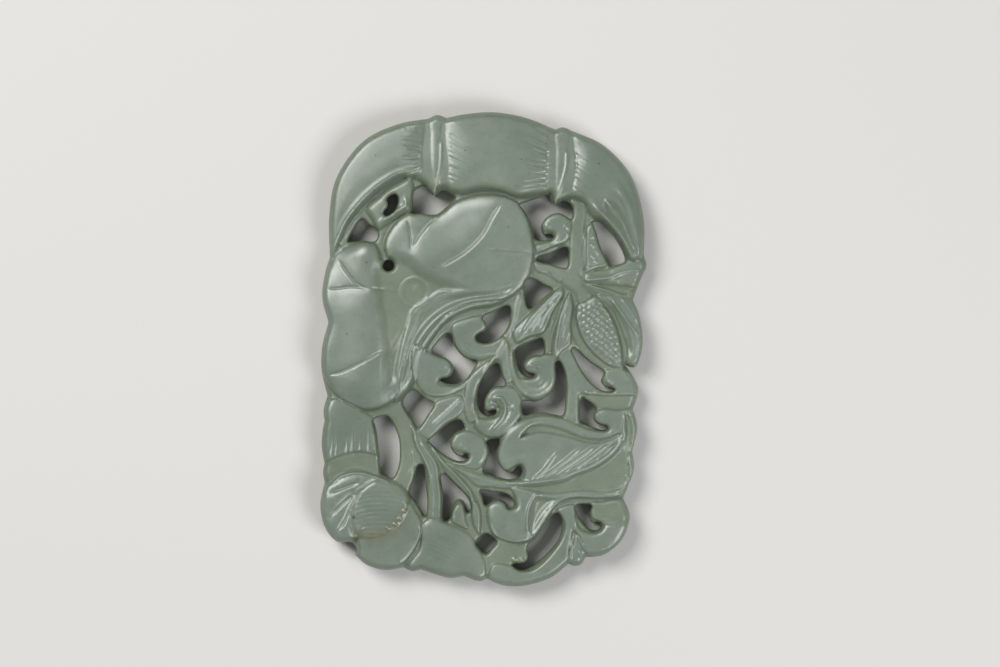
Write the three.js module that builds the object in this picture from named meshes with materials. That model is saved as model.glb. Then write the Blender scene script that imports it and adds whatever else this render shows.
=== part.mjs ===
// A pierced jade plaque, carved in one piece as a lotus: a jointed root arched over the top, a large
// furled leaf, two flowers with seed pods, a broad lower leaf, and scrolling stems between them.
// It lies on its flat back. Millimetres, +Z up, origin under the middle of the back.
import * as THREE from "three";

// Driving dimensions
const LENGTH = 80; // top of the root to the lowest leaf, along Y
const WIDTH = 55; // across the leaf and the right-hand flower, along X
const THICKNESS = 7; // back to the crown of the root
const CORD_HOLE_DIAMETER = 1.9; // the drilled hole beside the leaf's notch
const OUTER_ROUNDING = 1.15; // reach of the polished rounding, inwards from the outer edge
const OUTER_FALL = 1.7; // from the carving down to the upright outer wall
const HOLE_ROUNDING = 0.5; // the same round every opening
const HOLE_FALL = 0.75;
const BACK_ROUNDING = 0.7; // reach of the rounding on the back
const BACK_FALL = 0.63; // from the back up to the upright walls

// Levels of the carving above the back
const CROWN = THICKNESS - 0.25; // the carving is lifted until its highest point is at the thickness
const LEVEL = {
  sunk: CROWN - 2.65, // ground beside the root and between overlapping forms
  stem: CROWN - 2.05,
  scroll: CROWN - 1.55,
  petal: CROWN - 1.25,
  pod: CROWN - 0.85,
  leaf: CROWN - 0.7,
  root: CROWN,
};
const STEP_WIDTH = 1.25; // of the step at a form's edge
const STEP_SHARE = 0.55; // of a form's rise, made by that step

// Fineness of the faceted surface
const EDGE_ERROR = 0.1; // most that a facet may stray from a cut edge's curve
const LONGEST_CHORD = 2.2; // along a cut edge
const FORM_CHORD = 1.2; // along the edge of a carved form
const FIRST_ROW = 0.5; // from a cut edge to the first row of points on the front
const FRONT_SPACING = 1.28; // between points on the front
const LINE_SPACING = 1.2; // between points along a ridge or groove
const BACK_SPACING = 7; // between points on the flat back

// The plan is drawn for a plaque 80 long and 55 wide, x to the right and y up from the middle.
// The outer edge, clockwise from the notch in the leaf's left side. Each run is one lobe, a smooth
// curve through its points to the first point of the next run.
const OUTER_EDGE = {
  leafShoulder: [[-26, 4.6], [-27.05, 8.6], [-26.6, 12.8]],
  leftRoot: [[-25.8, 15.6], [-25.85, 22.5], [-24.7, 28.8], [-20.2, 35], [-14.6, 37.85]],
  firstRing: [[-9.1, 38.9], [-7.7, 39.5]],
  middleRoot: [[-6.1, 39], [-2.5, 39.7], [2, 39.95], [7.4, 39]],
  secondRing: [[12.2, 37.05], [13.6, 37.4]],
  rightRoot: [[14.9, 36.9], [20.4, 34.35], [25, 29.3], [27.2, 21.8]],
  sidePetal: [[27.2, 15.9], [27.65, 14.1], [26.7, 11.9]],
  longPetal: [[25.35, 8.3], [26.5, 5.4], [26.95, 0.6], [25.7, -3]],
  upperHook: [[24.05, -2.7], [25.4, -4.6], [26.3, -6.9]],
  leafTip: [[25.35, -10.2], [26.1, -13.1], [25.6, -15.6]],
  leafMargin: [[25.2, -17.3], [25.55, -20], [24.7, -22.6]],
  cornerLobe: [[23.7, -25.1], [24.8, -28], [23.5, -32], [20.3, -34.7]],
  bud: [[17.3, -35.1], [16.6, -36.3], [15.5, -36.5]],
  lowerLobe: [[14.5, -36.2], [11.3, -38.6], [5.8, -40], [2.4, -39.5]],
  smallCurl: [[0.8, -38.65], [-0.5, -39.1]],
  striatedLeaf: [[-3.1, -38.2], [-5.5, -38.6], [-8.3, -37.85]],
  littleBud: [[-10.4, -37.1], [-11.9, -37.4]],
  underPetal: [[-13.4, -36.8], [-16.4, -37.2], [-19.4, -36.4]],
  brokenNotch: [[-21.5, -34.7], [-21.2, -33.7], [-22.2, -32.6]],
  fanPetal: [[-23.5, -32.55], [-24.7, -32.4], [-26.6, -29.9], [-27.35, -26.4]],
  bandRim: [[-26.65, -22.4], [-26.95, -20.8]],
  stemBundle: [[-26.7, -19.2], [-27.15, -16.2], [-26.95, -13.4]],
  bundleTop: [[-26.65, -12.1], [-26.85, -10.3]],
  leafFlank: [[-26.2, -7.8], [-27.15, -3.6], [-27, 0.8]],
};

// The pierced openings between the forms, each a closed smooth curve through its points.
const OPENINGS = {
  underRootTip: [[-20.4, 22], [-19.2, 20.8], [-17.75, 19.6], [-17.8, 18.4], [-20.1, 18.3], [-22.6, 18.1],
    [-22, 19.6], [-20.8, 21.75]],
  kidney: [[-14.7, 26.15], [-14.25, 24.5], [-15.3, 22.7], [-16.6, 22.7], [-16.1, 24.2], [-15.8, 25.7]],
  underFirstRing: [[-11.7, 26.8], [-9.7, 27.4], [-8, 25.95], [-6.6, 26.85], [-4.65, 25.6], [-6.7, 23.8],
    [-8.3, 22.7], [-11.95, 22.85], [-11.8, 24.6]],
  underSecondRing: [[6.3, 24.3], [8.8, 25.45], [11, 26.05], [12.15, 24.4], [13.6, 25.05], [15.1, 24],
    [14.8, 22.05], [12.7, 22.95], [10.8, 22.2], [9.9, 20.2], [11.7, 19.4], [11.2, 18.4], [9, 18.5], [8, 21.4]],
  besideStalk: [[9.15, 15.2], [11.4, 16.4], [14.1, 17.1], [14.35, 15.6], [13.8, 13.75], [9.5, 14.65]],
  underRightRoot: [[18.5, 21.35], [20, 20.95], [22.5, 18.1], [24.05, 15], [21.4, 14.1], [19.7, 17.1]],
  wedge: [[7.7, 11.6], [8.9, 11.75], [11.6, 10.05], [9.3, 8], [7.9, 7], [7.2, 9.3]],
  behindHook: [[0.1, 5.4], [2, 6.4], [4.3, 7.2], [4.7, 5.5], [3.3, 2.5], [0.8, 1.05], [-1, 1.8],
    [0.3, 3], [0.5, 4.2]],
  underLeafFold: [[-5.7, 2.75], [-4.85, 1.1], [-3.6, -0.8], [-0.95, -1.9], [-2.1, -4.15], [-4.6, -5.75],
    [-7.3, -5.15], [-5, -4.1], [-5.7, -1.9], [-8.4, -0.6], [-7.6, 1.4]],
  kite: [[-11.6, -6.9], [-9.8, -8], [-8.25, -9.2], [-9.6, -11.5], [-11.1, -13.15], [-12.4, -11.2],
    [-13.35, -8.7]],
  teardrop: [[2.55, -2.35], [3, -3.8], [3.65, -6.15], [1.6, -6.5], [0.35, -8.4], [0.7, -10.4],
    [2.2, -10.7], [0.4, -11.1], [-0.95, -9], [-0.5, -6.5], [1, -4]],
  aboveScroll: [[5.4, 0], [8.2, 1.3], [10.2, 1.8], [10.2, -0.7], [8.1, -1.15], [6.9, -2.9], [8.6, -4.1],
    [7.6, -4.75], [5.7, -2.9]],
  belowScroll: [[12.4, -1.95], [13.6, -3.9], [14, -7.4], [13.6, -11.1], [10, -10.8], [6.8, -11],
    [6.7, -8.75], [10.2, -8.4], [12.2, -5.6], [12.2, -3]],
  underSeedPod: [[15.2, 0.15], [16.9, -0.95], [20.1, -3.6], [20, -5.7], [22.2, -6.9], [19.8, -6.8],
    [16.6, -3.6]],
  aboveLeafTip: [[16.7, -8.1], [19.05, -9.8], [18.8, -12.1], [21, -13], [18.9, -13.35], [16.4, -12.2],
    [16.35, -10]],
  slot: [[-18.4, -11.8], [-15.9, -11.4], [-14.3, -14.4], [-13.95, -18.4], [-15.3, -21.85], [-17.3, -20.8],
    [-17.5, -17]],
  arrowhead: [[-4.1, -11.75], [-3, -13.1], [-4.6, -14.2], [-5.3, -17], [-2.5, -17.7], [-4, -19],
    [-6.6, -17.8], [-9, -15.5], [-7.4, -13.6]],
  stemSlit: [[-10.6, -19.4], [-9.85, -21], [-9.3, -26], [-9.8, -28.2], [-12.3, -24.4], [-11.4, -20.6]],
  forkGap: [[-6.5, -21.1], [-4.8, -22.9], [-2.4, -25.5], [-2.5, -27.6], [-3.6, -25.4], [-5, -26.4],
    [-6.4, -29], [-6.6, -25]],
  anchor: [[0.7, -15.4], [2.7, -15.1], [2.5, -17.6], [3.6, -20.7], [6.2, -19.65], [6, -21.6], [3.4, -21.9],
    [0, -20.8], [1.1, -18]],
  arch: [[-0.4, -23.75], [2.3, -24.05], [5, -25.5], [4.6, -26.9], [2.6, -25.3], [0.5, -26.2]],
  lozenge: [[0.7, -31], [2.3, -32.5], [0.6, -34.45], [-1.15, -32.5]],
  crescent: [[12.5, -27.6], [13.3, -29.8], [11.9, -33.3], [8.6, -36.6], [5, -36.3], [7.6, -35.1],
    [7.7, -33.1], [10.4, -29.9]],
  comma: [[15.8, -26.5], [18.2, -26.2], [18.3, -28.9], [19.9, -29.7], [17.6, -30.1], [16.2, -28.4]],
};
const CORD_HOLE_CENTRE = [-15.85, 14.1];

// Swelling forms: each rises from its foot at the edge, part of the way in a step and the rest in a
// wide swell, to its level.
const FORMS = {
  rootBase: { level: CROWN - 0.8, foot: LEVEL.sunk, reach: 2.4, edge: [[-25.2, 15.4],
    [-26.5, 20], [-25.7, 27.5], [-20.7, 35.4], [-14.2, 38.6], [-8.6, 40], [2, 40.6], [9.4, 39],
    [13.6, 37.9], [20.7, 34.9], [25.5, 29.4], [27.7, 21.8], [27.4, 17], [26.6, 15], [24.6, 14.8],
    [22.8, 18.4], [20.2, 21.3], [18.4, 22.2], [16.4, 24.9], [14.6, 25.2], [12.4, 24.4],
    [11.2, 26.2], [8.5, 25.6], [5.9, 25.4], [3, 26.5], [0, 26.8], [-4, 26], [-6.6, 27],
    [-8.1, 25.8], [-9.8, 27.6], [-11.5, 28.6], [-13.4, 28.9], [-15.6, 27.8], [-18, 26],
    [-20.4, 23.6], [-22.5, 20.8], [-23.9, 17.6]] },
  leftRoot: { level: LEVEL.root, foot: LEVEL.sunk, reach: 5, edge: [[-25.2, 15.4],
    [-26.5, 20], [-25.7, 27.5], [-20.7, 35.4], [-14.2, 38.6], [-9.5, 39.8], [-9.5, 33],
    [-9.7, 29.4], [-11.5, 28.7], [-13.4, 28.9], [-15.6, 27.8], [-18, 26], [-20.4, 23.6],
    [-22.5, 20.8], [-23.9, 17.6]] },
  middleRoot: { level: LEVEL.root, foot: LEVEL.sunk, reach: 5.6, edge: [[-6.3, 39.6],
    [-2, 40.5], [2, 40.6], [7.4, 39.6], [11.5, 38], [11.5, 33], [11.3, 29], [11.3, 26.4],
    [8.5, 25.8], [5.9, 25.5], [3, 26.5], [0, 26.8], [-4, 26.2], [-6.2, 27], [-6.4, 31]] },
  rightRoot: { level: LEVEL.root, foot: LEVEL.sunk, reach: 5, edge: [[15, 37.4],
    [20.7, 34.9], [25.5, 29.4], [27.7, 21.8], [27.4, 17], [26.6, 15], [24.6, 14.8], [22.8, 18.4],
    [20.2, 21.3], [18.4, 22.2], [16.4, 24.9], [14.6, 25.6], [15.1, 31]] },
  firstRing: { level: CROWN - 0.15, foot: CROWN - 1.15, reach: 1.2, edge: [[-9, 39.9],
    [-9.05, 36], [-9, 32], [-8.7, 29], [-8.1, 25.9], [-7.5, 27.6], [-6.9, 31], [-6.7, 35],
    [-6.7, 39.9]] },
  secondRing: { level: CROWN - 0.15, foot: CROWN - 1.15, reach: 1.2, edge: [[12.1, 37.8],
    [12, 33], [11.9, 29.4], [12.2, 24.4], [13.1, 26], [14.2, 29.4], [14.7, 33], [14.8, 37.8]] },
  leaf: { level: LEVEL.leaf, foot: LEVEL.sunk, reach: 2.6, edge: [[-25.9, 14.4],
    [-24.8, 16.3], [-22, 17.8], [-20, 18.3], [-18.2, 18], [-17.3, 16.8], [-16.9, 15.2],
    [-16.3, 15.4], [-16.7, 17], [-16.5, 18.6], [-15.8, 20.1], [-14.7, 21.5], [-13.4, 22.6],
    [-12, 23.1], [-10.2, 23.1], [-8.2, 22.6], [-6.8, 23.3], [-4.6, 25], [-2.4, 25.8], [0, 26.2],
    [3.2, 26], [5.9, 24.9], [7.6, 22.4], [8.5, 19.2], [8.8, 16.2], [8.3, 13], [7.1, 10.6], [5, 8.8],
    [2.9, 7.9], [0, 7.8], [-2.4, 7.5], [-4.6, 6.6], [-6.8, 5.2], [-8.6, 3.4], [-10.2, 1.2],
    [-11.3, -1.4], [-12, -4.2], [-12.9, -6.4], [-14.4, -8.4], [-16.6, -9.8], [-19.2, -10.4],
    [-21.8, -9.9], [-24.2, -8.3], [-26, -5.9], [-27.4, -3.6], [-27.4, 0], [-26.3, 4.6],
    [-27.3, 8.6], [-26.9, 12.8]] },
  bracket: { level: LEVEL.petal, foot: LEVEL.sunk, reach: 1.2, edge: [[-12, 28.8],
    [-14.4, 27.8], [-14.3, 25], [-15.2, 23.4], [-17, 22.4], [-18.2, 21.2], [-17.2, 20.2],
    [-15, 21.6], [-13.2, 22.8], [-12, 23.4]] },
  stalk: { level: LEVEL.scroll, foot: LEVEL.sunk, reach: 1, edge: [[14.8, 25.4],
    [17.5, 24.2], [17.25, 20], [17, 16], [16.8, 12.2], [14, 12.6], [13.8, 14.6], [14.3, 17],
    [14.6, 20]] },
  sideCurl: { level: LEVEL.petal, foot: LEVEL.sunk, reach: 1.6, edge: [[9.7, 21],
    [10.6, 22.5], [12.6, 23.3], [14.9, 22.3], [15, 19], [13.8, 17.6], [11.6, 17], [9, 16],
    [8.7, 17.6], [11.4, 18.5], [11.9, 19.5], [10.2, 19.8]] },
  roughPetal: { level: LEVEL.petal, foot: LEVEL.sunk, reach: 1, edge: [[17.4, 20.8],
    [18.8, 21.4], [19.9, 17.2], [21.2, 14.2], [19.6, 13.5], [17.3, 12.7]] },
  leftPetal: { level: LEVEL.scroll, foot: LEVEL.sunk, reach: 1.2, edge: [[8.4, 14.8],
    [9, 12.9], [11, 12.6], [13.1, 11.2], [14.2, 13.8], [9.6, 14.9]] },
  flowerHeart: { level: CROWN - 1, foot: LEVEL.sunk, reach: 0.9, edge: [[12.9, 13.4],
    [15.2, 14], [17, 12.2], [17.3, 11], [18.6, 9.3], [17.7, 7.6], [16.1, 7.4], [15.4, 9.2],
    [14.5, 9.9], [13.1, 11]] },
  sidePetal: { level: LEVEL.petal, foot: LEVEL.sunk, reach: 2, edge: [[16.9, 11.3],
    [17, 12.8], [21.4, 13.7], [27.7, 15.4], [28, 13.6], [26.4, 10.6], [23, 10.4], [20, 10.6]] },
  lowerSidePetal: { level: LEVEL.scroll, foot: LEVEL.sunk, reach: 2, edge: [[17.1, 11.1],
    [20.2, 10.6], [24.2, 9.6], [26.4, 11], [25.6, 8], [22, 8.6], [18.9, 9.2]] },
  longPetal: { level: LEVEL.petal, foot: LEVEL.sunk, reach: 1.6, edge: [[18.9, 9.2],
    [25.5, 8.5], [27.1, 5.4], [27.4, 0.6], [25.6, -3.5], [24.2, -2.7], [24, 0.6], [23.2, 3.2],
    [21.6, 6.4]] },
  slantPetal: { level: LEVEL.petal, foot: LEVEL.sunk, reach: 1.4, edge: [[13.2, 10.7],
    [11.5, 9.4], [9.2, 7.4], [6.9, 5.4], [4.9, 3], [5.6, 0.9], [8, 1.9], [10.4, 2.6], [12, 6],
    [13.9, 9.6]] },
  lowPetal: { level: LEVEL.petal, foot: LEVEL.sunk, reach: 1.2, edge: [[14.6, 9.9],
    [12.9, 6], [11.6, 2], [11.5, -1], [12.4, -1.8], [13.6, -0.6], [15.2, 0.8], [15.1, 4], [15.4, 8]] },
  rightPod: { level: LEVEL.pod, foot: LEVEL.sunk, reach: 2.6, edge: [[15.7, 7.6],
    [15.6, 5.2], [16.2, 3], [17.2, 0.9], [19.5, -1.6], [21.6, -3.1], [23.6, -3.8], [23.7, -1],
    [23.3, 1.6], [22.4, 4.4], [21, 7], [19.1, 9.2], [17.2, 8.4]] },
  hook: { level: LEVEL.scroll, foot: LEVEL.sunk, reach: 1.5, edge: [[-5.4, 4.2],
    [-3, 5.4], [0, 5.8], [1.2, 4], [0.2, 2.6], [3.4, 2.4], [4.4, 1.6], [3.2, -0.8], [1, -1.8],
    [-1.2, -2.1], [-3.6, -1.2], [-5, 1.2]] },
  leftHook: { level: LEVEL.scroll, foot: LEVEL.sunk, reach: 1.6, edge: [[-10.6, -0.3],
    [-8, -0.7], [-5.5, -1.7], [-4.8, -3.4], [-5.6, -4.9], [-7.2, -5.5], [-4.6, -5.9], [-1.9, -4.2],
    [-2.4, -6.2], [-4.4, -7.7], [-7.2, -8.3], [-10, -7.6], [-11.5, -5.4]] },
  loopBand: { level: LEVEL.scroll, foot: LEVEL.sunk, reach: 1.4, edge: [[4.1, 1.8],
    [1.8, -1], [0, -2.2], [-2.4, -4.4], [-3.3, -7], [-3.4, -10], [-2.4, -12.6], [-0.4, -11.6],
    [-1.2, -9], [-0.6, -6.4], [1, -3.8], [2.6, -2], [3, -3.8], [3.8, -6.2], [5.4, -5.2], [5.2, -1.6]] },
  commaScroll: { level: LEVEL.petal, foot: LEVEL.sunk, reach: 1.8, edge: [[4.9, 0.6],
    [4.4, -2.4], [4.8, -5.4], [6.4, -7.8], [9, -8.8], [11.4, -8.2], [12.7, -6], [12.9, -2.6],
    [12.2, -1], [10.4, -0.5], [8.2, -0.9], [6.7, -2.6], [7.4, -4], [8.8, -4.4], [6.4, -4.6]] },
  ringScroll: { level: LEVEL.petal, foot: LEVEL.sunk, reach: 1.6, edge: [[3.9, -5.9],
    [1.6, -6.2], [-0.1, -8], [0.1, -10.3], [1.7, -10.5], [2.6, -9.8], [2.4, -11], [0.8, -11.5],
    [-1.2, -11.4], [-1.6, -13], [0.4, -14.8], [3, -14.9], [5.4, -13], [7, -10.6], [6.7, -8],
    [5.6, -6.4]] },
  littleLeaf: { level: LEVEL.scroll, foot: LEVEL.stem, reach: 1.2, edge: [[-11, -13.8],
    [-8.2, -9], [-6.4, -8.1], [-3.3, -7.9], [-3.2, -10.4], [-4.4, -11.6], [-6.4, -12.8], [-9, -15.2]] },
  arrowheadKnob: { level: LEVEL.scroll, foot: LEVEL.sunk, reach: 1.3, edge: [
    [-5.6, -16.4], [-4.9, -14.3], [-2.6, -13.5], [0.2, -14.8], [1.2, -17.4], [0.6, -19.2],
    [-0.8, -20.4], [-3, -20.2], [-6.4, -18.2], [-4, -18.9], [-2.4, -17.8], [-4, -17.4]] },
  arrowLeaf: { level: LEVEL.petal, foot: LEVEL.sunk, reach: 1.4, edge: [[2.7, -16],
    [3.8, -13.6], [6, -11.9], [9.6, -11], [13.4, -11.4], [18.4, -13.4], [21, -13.4], [18.6, -12],
    [18.7, -10.6], [20.2, -9.8], [23, -10], [24.6, -9.8], [26.3, -11], [26.3, -15], [25.5, -17.4],
    [25.9, -20], [25, -23.6], [23.4, -24.7], [20, -25.1], [14.6, -25.2], [12.6, -26.2],
    [10.4, -29.4], [8.2, -32.3], [6, -32.7], [3.4, -32.2], [1.4, -31], [0.7, -29], [0.8, -26],
    [3, -25.2], [5.4, -26.4], [4.6, -23.6], [2, -22.7], [3, -21.9], [6.6, -21.5], [6.4, -19.6],
    [3.7, -20.6], [2.4, -18.4]] },
  leafStem: { level: LEVEL.scroll, foot: LEVEL.sunk, reach: 1, edge: [[-7.6, -18.2],
    [-4, -19.6], [-0.6, -20.7], [3.4, -21.8], [6, -22.4], [4.8, -23.6], [1.4, -23.4], [-1, -23.2],
    [-3, -21.6]] },
  upright: { level: LEVEL.scroll, foot: LEVEL.sunk, reach: 1.1, edge: [[13.6, 1],
    [15.2, 0.6], [17.4, -3.6], [19.6, -6.4], [18, -7.8], [16.4, -7.8], [16.3, -12.6], [13.6, -11.8],
    [13.9, -7], [13.4, -3.6], [12.6, -1.6]] },
  branch: { level: LEVEL.scroll, foot: LEVEL.sunk, reach: 1.3, edge: [[17, -5],
    [19.6, -6.3], [21.6, -6.6], [20, -5.2], [20.2, -3.4], [22.4, -2.9], [24.6, -3.4], [26.4, -6],
    [26.3, -7.6], [22, -7.7], [18.4, -7.6]] },
  cornerDisc: { level: LEVEL.petal, foot: LEVEL.sunk, reach: 1.2, edge: [[18, -25.6],
    [20, -25.4], [23.7, -25.1], [25.2, -28], [23.9, -32.2], [20.4, -35], [17, -34.4], [15.6, -31.2],
    [14, -29.4], [15.4, -27.6], [16.6, -30], [18.8, -30.6], [20.1, -29.6], [18.2, -28.4]] },
  bud: { level: LEVEL.scroll, foot: LEVEL.sunk, reach: 0.8, edge: [[15.7, -30.8],
    [17.2, -33.2], [17.6, -35.2], [16, -36.8], [14.2, -36.2], [14.8, -33.4]] },
  crescentStem: { level: LEVEL.scroll, foot: LEVEL.sunk, reach: 1, edge: [[12.4, -26.8],
    [15.6, -26], [15.4, -30.8], [14.9, -33.4], [14.4, -36.3], [11.4, -38.9], [5.8, -40.3],
    [1, -39.2], [1.6, -36], [4.8, -36.2], [8, -37], [12, -33.4], [13.6, -29.6]] },
  stemCollar: { level: LEVEL.scroll, foot: LEVEL.sunk, reach: 2.4, edge: [[-27, -9.6],
    [-25, -8], [-19, -10.8], [-18, -11.6], [-17.9, -14], [-17.5, -17.9], [-20.5, -17.5],
    [-23, -17.9], [-24.6, -18.4], [-27.6, -19.4], [-27.6, -14]] },
  domedPetal: { level: LEVEL.leaf, foot: LEVEL.sunk, reach: 3.2, edge: [[-27.4, -23],
    [-25.6, -22.3], [-24, -21], [-22, -20.4], [-20, -20.4], [-18.4, -20.9], [-15.4, -22.1],
    [-14, -23.6], [-18, -23], [-21.4, -25.4], [-22.2, -29], [-22.8, -31.4], [-23.6, -32.8],
    [-26.2, -31.4], [-28, -26.6]] },
  leftPod: { level: LEVEL.pod, foot: LEVEL.sunk, reach: 4, edge: [[-22, -26.8],
    [-20.6, -23.8], [-17.6, -22], [-14.4, -22.4], [-12.4, -24.6], [-12.3, -27.4], [-13.6, -29.6],
    [-16, -31.4], [-19.4, -32.2], [-21.6, -31.4]] },
  underPetal: { level: LEVEL.petal, foot: LEVEL.sunk, reach: 2, edge: [[-21.4, -33.4],
    [-18.4, -32.6], [-14.8, -31], [-12.4, -27.8], [-11, -27.2], [-10, -29.2], [-10.2, -31.4],
    [-11.3, -33.9], [-13, -36.2], [-13.6, -37.4], [-16.6, -37.9], [-20.8, -36.6], [-22, -35]] },
  lowLeaf: { level: LEVEL.scroll, foot: LEVEL.sunk, reach: 1.6, edge: [[-10.2, -29],
    [-8.6, -28.2], [-5.6, -29.2], [-2.6, -30.6], [-0.6, -33], [0.5, -36], [0.6, -39.4],
    [-3.4, -38.9], [-8.4, -38.2], [-12.4, -38], [-12.6, -36.2], [-10.8, -33.4]] },
  tuft: { level: LEVEL.scroll, foot: LEVEL.sunk, reach: 0.9, edge: [[-5.4, -29],
    [-4.9, -26.6], [-3.8, -25.2], [-2.8, -26.2], [-2.6, -28.6], [-2.2, -30.4], [-4, -30]] },
  littleBud: { level: LEVEL.petal, foot: LEVEL.sunk, reach: 0.7, edge: [[-1.7, -25.4],
    [-0.8, -25.6], [-0.1, -28], [-0.5, -31.3], [-1.3, -30.4], [-2, -28]] },
};

// Hollows: each falls to its level within its reach, whatever forms it lies in.
const HOLLOWS = {
  leafBowl: { level: CROWN - 1.25, reach: 3.4, edge: [[-18.6, 14.6], [-13.4, 16.6], [-8.6, 13.6],
    [-5, 11.4], [-8.6, 9.6], [-12, 6.4], [-13.6, 1], [-14.8, -3.6], [-16.6, -6.6], [-17.4, -1],
    [-17.9, 4], [-18.8, 9]] },
  foldTrough: { level: CROWN - 1.7, reach: 1, edge: [[5.6, 11], [2, 10.1], [-2, 9.9], [-6, 9.4],
    [-9, 8.1], [-11.4, 6.7], [-12.2, 4], [-13, 1.2], [-13.7, -2], [-14.4, -5.6], [-14.2, -7.4],
    [-13, -5.6], [-12.3, -3], [-11.8, -1], [-10.8, 1], [-9.4, 2.9], [-7.8, 4.7], [-5.8, 6.1],
    [-3.6, 7], [-1, 7.9], [2, 8.5], [4.4, 9.4]] },
  foldBand: { level: CROWN - 1.9, reach: 1, edge: [[6.1, -15], [7, -13.7], [8.3, -12.7],
    [10, -12.5], [13, -13.1], [17, -14.6], [20, -14.9], [22.2, -14.2], [23.3, -13.9], [23.4, -14.3],
    [21.4, -15.5], [19.4, -16], [17.4, -15.9], [14.6, -15.1], [11.6, -14.4], [9, -14.3]] },
  leafUnderside: { level: CROWN - 1.8, reach: 1, edge: [[4.6, -23], [8.5, -22.7], [12, -22.3],
    [14, -21.9], [15.6, -21], [18.6, -19.9], [21, -18.4], [22.8, -16.6], [23.8, -15], [24, -17.4],
    [24.9, -19.4], [24.8, -21.6], [23.4, -23.6], [20, -24.4], [17.4, -24.1], [14.6, -24.3],
    [12, -24.6], [8.8, -24.2]] },
  turnedTip: { level: CROWN - 2.25, reach: 1, edge: [[9.8, -24.6], [8.6, -25.2], [8, -26.8],
    [7.8, -28.6], [7.8, -30.6], [8.3, -31.2], [9.2, -29.4], [10.4, -27.6], [12, -25.9], [12.6, -25]] },
  hookBand: { level: CROWN - 1.95, reach: 1, edge: [[24, -10.6], [24.9, -11.2], [25.4, -13],
    [25.1, -15.4], [24.7, -17], [24.1, -17], [23.9, -14.6]] },
  archBand: { level: CROWN - 2.1, reach: 1, edge: [[-26.2, -19.3], [-24.6, -18.7], [-22, -18.1],
    [-20.4, -17.9], [-17.4, -18.2], [-17.4, -20.9], [-18.6, -20.6], [-21, -20], [-23.4, -20.6],
    [-26, -22]] },
  rootFacet: { level: CROWN - 0.6, reach: 1, edge: [[20.4, 25.4], [22.6, 24.8], [24.2, 22.4],
    [25.1, 19], [25.6, 16.2], [24.6, 17.4], [22.8, 20.2], [20.6, 22.6]] },
};

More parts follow.
